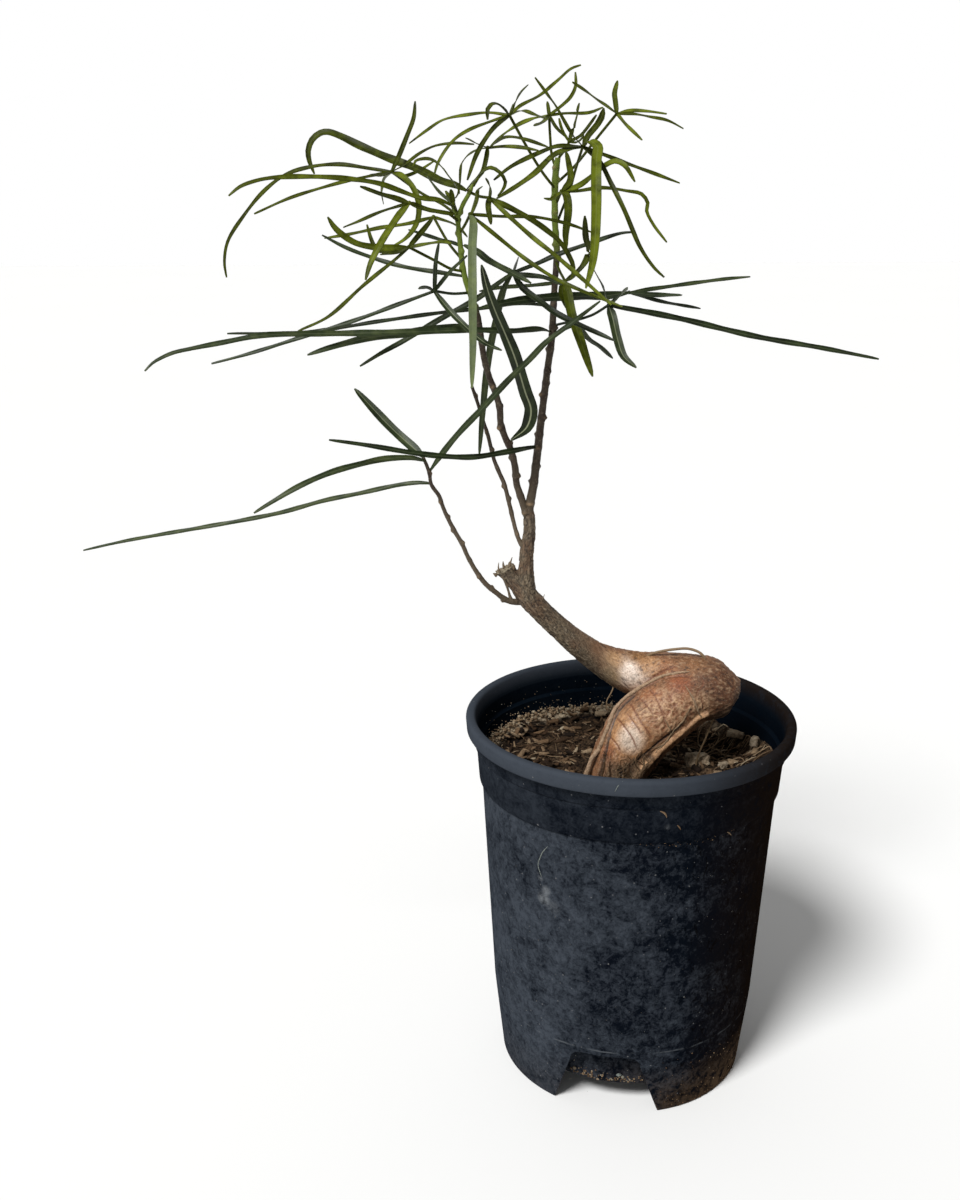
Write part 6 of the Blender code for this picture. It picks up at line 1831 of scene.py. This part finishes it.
def leaf_blade(width, points, settings, dice, look=None):
    """A folded, slightly waved strip along the blade's route, thickened on its under side."""
    placed = to_part(points)
    length = distances([Vector(point) for point in placed])[-1]
    centres = [Vector(point) for point in smooth_route(placed, min(BLADE_STEP, length / 6))]
    gone = distances(centres)
    bm = bmesh.new()
    layers = {name: bm.verts.layers.float.new(name) for name in ("across", "tint", "rib", "wax", "under")}
    bmesh.ops.create_grid(bm, x_segments=BLADE_COLUMNS, y_segments=len(centres) - 1, size=1.0)
    bm.verts.ensure_lookup_table()
    phase = dice.uniform(0.0, 2 * math.pi)
    tint = dice.uniform(-0.8, 0.8)
    tint, rib, wax = look or (tint, 0.15, 0.0)
    for row, (centre, along, way) in enumerate(zip(centres, tangents(centres), gone)):
        side = along.cross(BLADE_FACES)
        if side.length < 0.3:
            side = along.cross(Vector((1.0, 0.0, 0.3)))
        side.normalize()
        face = side.cross(along).normalized()
        half = 0.5 * blade_width(way / gone[-1], width * MM, gone[-1])
        for column in range(BLADE_COLUMNS + 1):
            across = 2 * column / BLADE_COLUMNS - 1
            vert = bm.verts[row * (BLADE_COLUMNS + 1) + column]
            wave = WAVE_HEIGHT * math.sin(way / WAVE_LENGTH + phase) * across * half / (0.5 * width * MM)
            lift = settings.fold * abs(across) ** 1.3 * half + wave * MM
            vert.co = centre + side * half * across + face * lift
            for name, value in (("across", across), ("tint", tint), ("rib", rib), ("wax", wax)):
                vert[layers[name]] = value
    upper = set(bm.verts)
    bmesh.ops.recalc_face_normals(bm, faces=bm.faces)
    bm.normal_update()
    if bm.faces[:][len(bm.faces) // 2].normal.dot(BLADE_FACES) < 0:
        bmesh.ops.reverse_faces(bm, faces=bm.faces)
    bmesh.ops.solidify(bm, geom=list(bm.faces), thickness=settings.thickness)
    for vert in bm.verts:
        vert[layers["under"]] = 0.0 if vert in upper else 1.0
    bmesh.ops.recalc_face_normals(bm, faces=bm.faces)
    return bm


def whole_leaf(name, stalk, leaflets, settings, dice):
    """A leaf's blades with, where it has a stalk, the stalk and the knuckle that they grow from."""
    whole = bmesh.new()
    hub = stalk[-1]
    for place, (width, *points) in enumerate(leaflets):
        gather(whole, leaf_blade(width, [hub, *points], settings, dice, BLADE_LOOKS.get((name, place))))
    if len(stalk) > 1:
        centres, _ = line_of(stalk, 0.0015)
        gather(whole, tube(centres, [STALK_RADIUS] * len(centres), 8, 1.0, "across"))
        knuckle = bmesh.new()
        bmesh.ops.create_icosphere(knuckle, subdivisions=2, radius=KNUCKLE_RADIUS)
        gather(whole, moved(knuckle, Vector(to_part([hub])[0])))
    return whole


class BOTTLETREE_OT_leaves(Operator):
    """Builds every leaf with its stalk, knuckle and blades"""
    bl_idname = "bottle_tree.leaves"
    bl_label = "Build Leaves"

    def execute(self, context):
        settings = context.scene.bottle_tree_leaf
        mature = leaf_skin("mature_leaf", settings.mature, MATURE_BRIGHT, settings.under, settings.rib, 0.18)
        young = leaf_skin("young_leaf", settings.young, YOUNG_BRIGHT, YOUNG_UNDER, YOUNG_RIB, 0.07)
        for number, (name, (stalk, leaflets)) in enumerate(LEAVES.items()):
            leaf = plain_object(name + "_blades",
                                whole_leaf(name, stalk, leaflets, settings, random.Random(number)))
            material, slot = (young, "young_leaf") if name in YOUNG_LEAVES else (mature, "mature_leaf")
            finish_piece(leaf, [material], slot, name, sharp=60)
        return {"FINISHED"}


def studio_world(settings):
    """A pale backdrop behind the object that darkens overhead, to the front and to the right."""
    world = bpy.data.worlds.new("studio")
    nodes = Nodes(world)
    way = nodes.node("ShaderNodeTexCoord", {}, "Generated")
    overhead = nodes.span(nodes.axis("Z", way), 0.16, 0.45, settings.backdrop, settings.sky)
    front = nodes.span(nodes.axis("Y", way), -0.3, 0.3, 0.6, 1.0)
    right = nodes.span(nodes.axis("X", way), 0.4, 0.85, 1.0, 0.35)
    background = nodes.tree.nodes["Background"]
    nodes.feed(background.inputs["Color"], (1.0, 1.0, 1.0))
    nodes.feed(background.inputs["Strength"], nodes.times(nodes.times(overhead, front), right))
    return world


class BOTTLETREE_OT_stage(Operator):
    """Builds the floor, the light and the camera"""
    bl_idname = "bottle_tree.stage"
    bl_label = "Build Stage"

    def execute(self, context):
        settings = context.scene.bottle_tree_stage
        bm = bmesh.new()
        bmesh.ops.create_grid(bm, x_segments=1, y_segments=1, size=8.0)
        floor = plain_object("floor", bm)
        finish = Finish("floor_paper", 0.9, 0.1)
        cloud = finish.noise(0.4, 2.0, 0.5)
        darker = [0.985 * value for value in settings.floor]
        floor.data.materials.append(finish.done(finish.mix(cloud, settings.floor, darker)))
        context.scene.world = studio_world(settings)

        light = bpy.data.lights.new("main_light", "SUN")
        light.energy = settings.main_light
        light.angle = MAIN_LIGHT_SPREAD
        lamp = new_object("main_light", light)
        lamp.location = AXIS + MAIN_LIGHT_WAY
        lamp.rotation_euler = (-MAIN_LIGHT_WAY).to_track_quat("-Z", "Y").to_euler()

        camera = new_object("camera", bpy.data.cameras.new("camera"))
        camera.data.lens = CAMERA_LENS
        camera.data.clip_start = 0.01
        camera.matrix_world = (Matrix.Translation(AXIS + CAMERA_PLACE)
                               @ Matrix.Rotation(math.pi / 2 - CAMERA_PITCH, 4, "X")
                               @ Matrix.Rotation(CAMERA_ROLL, 4, "Z"))
        context.scene.camera = camera
        context.scene.view_settings.view_transform = "Standard"
        return {"FINISHED"}


OPERATORS = (BOTTLETREE_OT_pot, BOTTLETREE_OT_soil, BOTTLETREE_OT_stones, BOTTLETREE_OT_caudex,
             BOTTLETREE_OT_stems, BOTTLETREE_OT_leaves, BOTTLETREE_OT_stage)
SETTINGS = {"bottle_tree_pot": PotSettings, "bottle_tree_soil": SoilSettings,
            "bottle_tree_wood": WoodSettings, "bottle_tree_leaf": LeafSettings,
            "bottle_tree_stage": StageSettings}


class BOTTLETREE_PT_panel(Panel):
    """Lists the pieces of the potted bottle tree"""
    bl_label = "Bottle Tree"
    bl_idname = "BOTTLETREE_PT_panel"
    bl_space_type = "VIEW_3D"
    bl_region_type = "UI"
    bl_category = "Bottle Tree"

    def draw(self, context):
        for operator in OPERATORS:
            self.layout.operator(operator.bl_idname)
        for name, group in SETTINGS.items():
            box = self.layout.box()
            for field in group.__annotations__:
                box.prop(getattr(context.scene, name), field)


def register():
    for group in SETTINGS.values():
        bpy.utils.register_class(group)
    for operator in OPERATORS:
        bpy.utils.register_class(operator)
    bpy.utils.register_class(BOTTLETREE_PT_panel)
    for name, group in SETTINGS.items():
        setattr(bpy.types.Scene, name, PointerProperty(type=group))


def unregister():
    for name in SETTINGS:
        delattr(bpy.types.Scene, name)
    bpy.utils.unregister_class(BOTTLETREE_PT_panel)
    for operator in reversed(OPERATORS):
        bpy.utils.unregister_class(operator)
    for group in reversed(list(SETTINGS.values())):
        bpy.utils.unregister_class(group)


def main():
    register()
    bpy.ops.bottle_tree.pot()
    bpy.ops.bottle_tree.soil()
    bpy.ops.bottle_tree.stones()
    bpy.ops.bottle_tree.caudex()
    bpy.ops.bottle_tree.stems()
    bpy.ops.bottle_tree.leaves()
    bpy.ops.bottle_tree.stage()


if __name__ == "__main__":
    main()
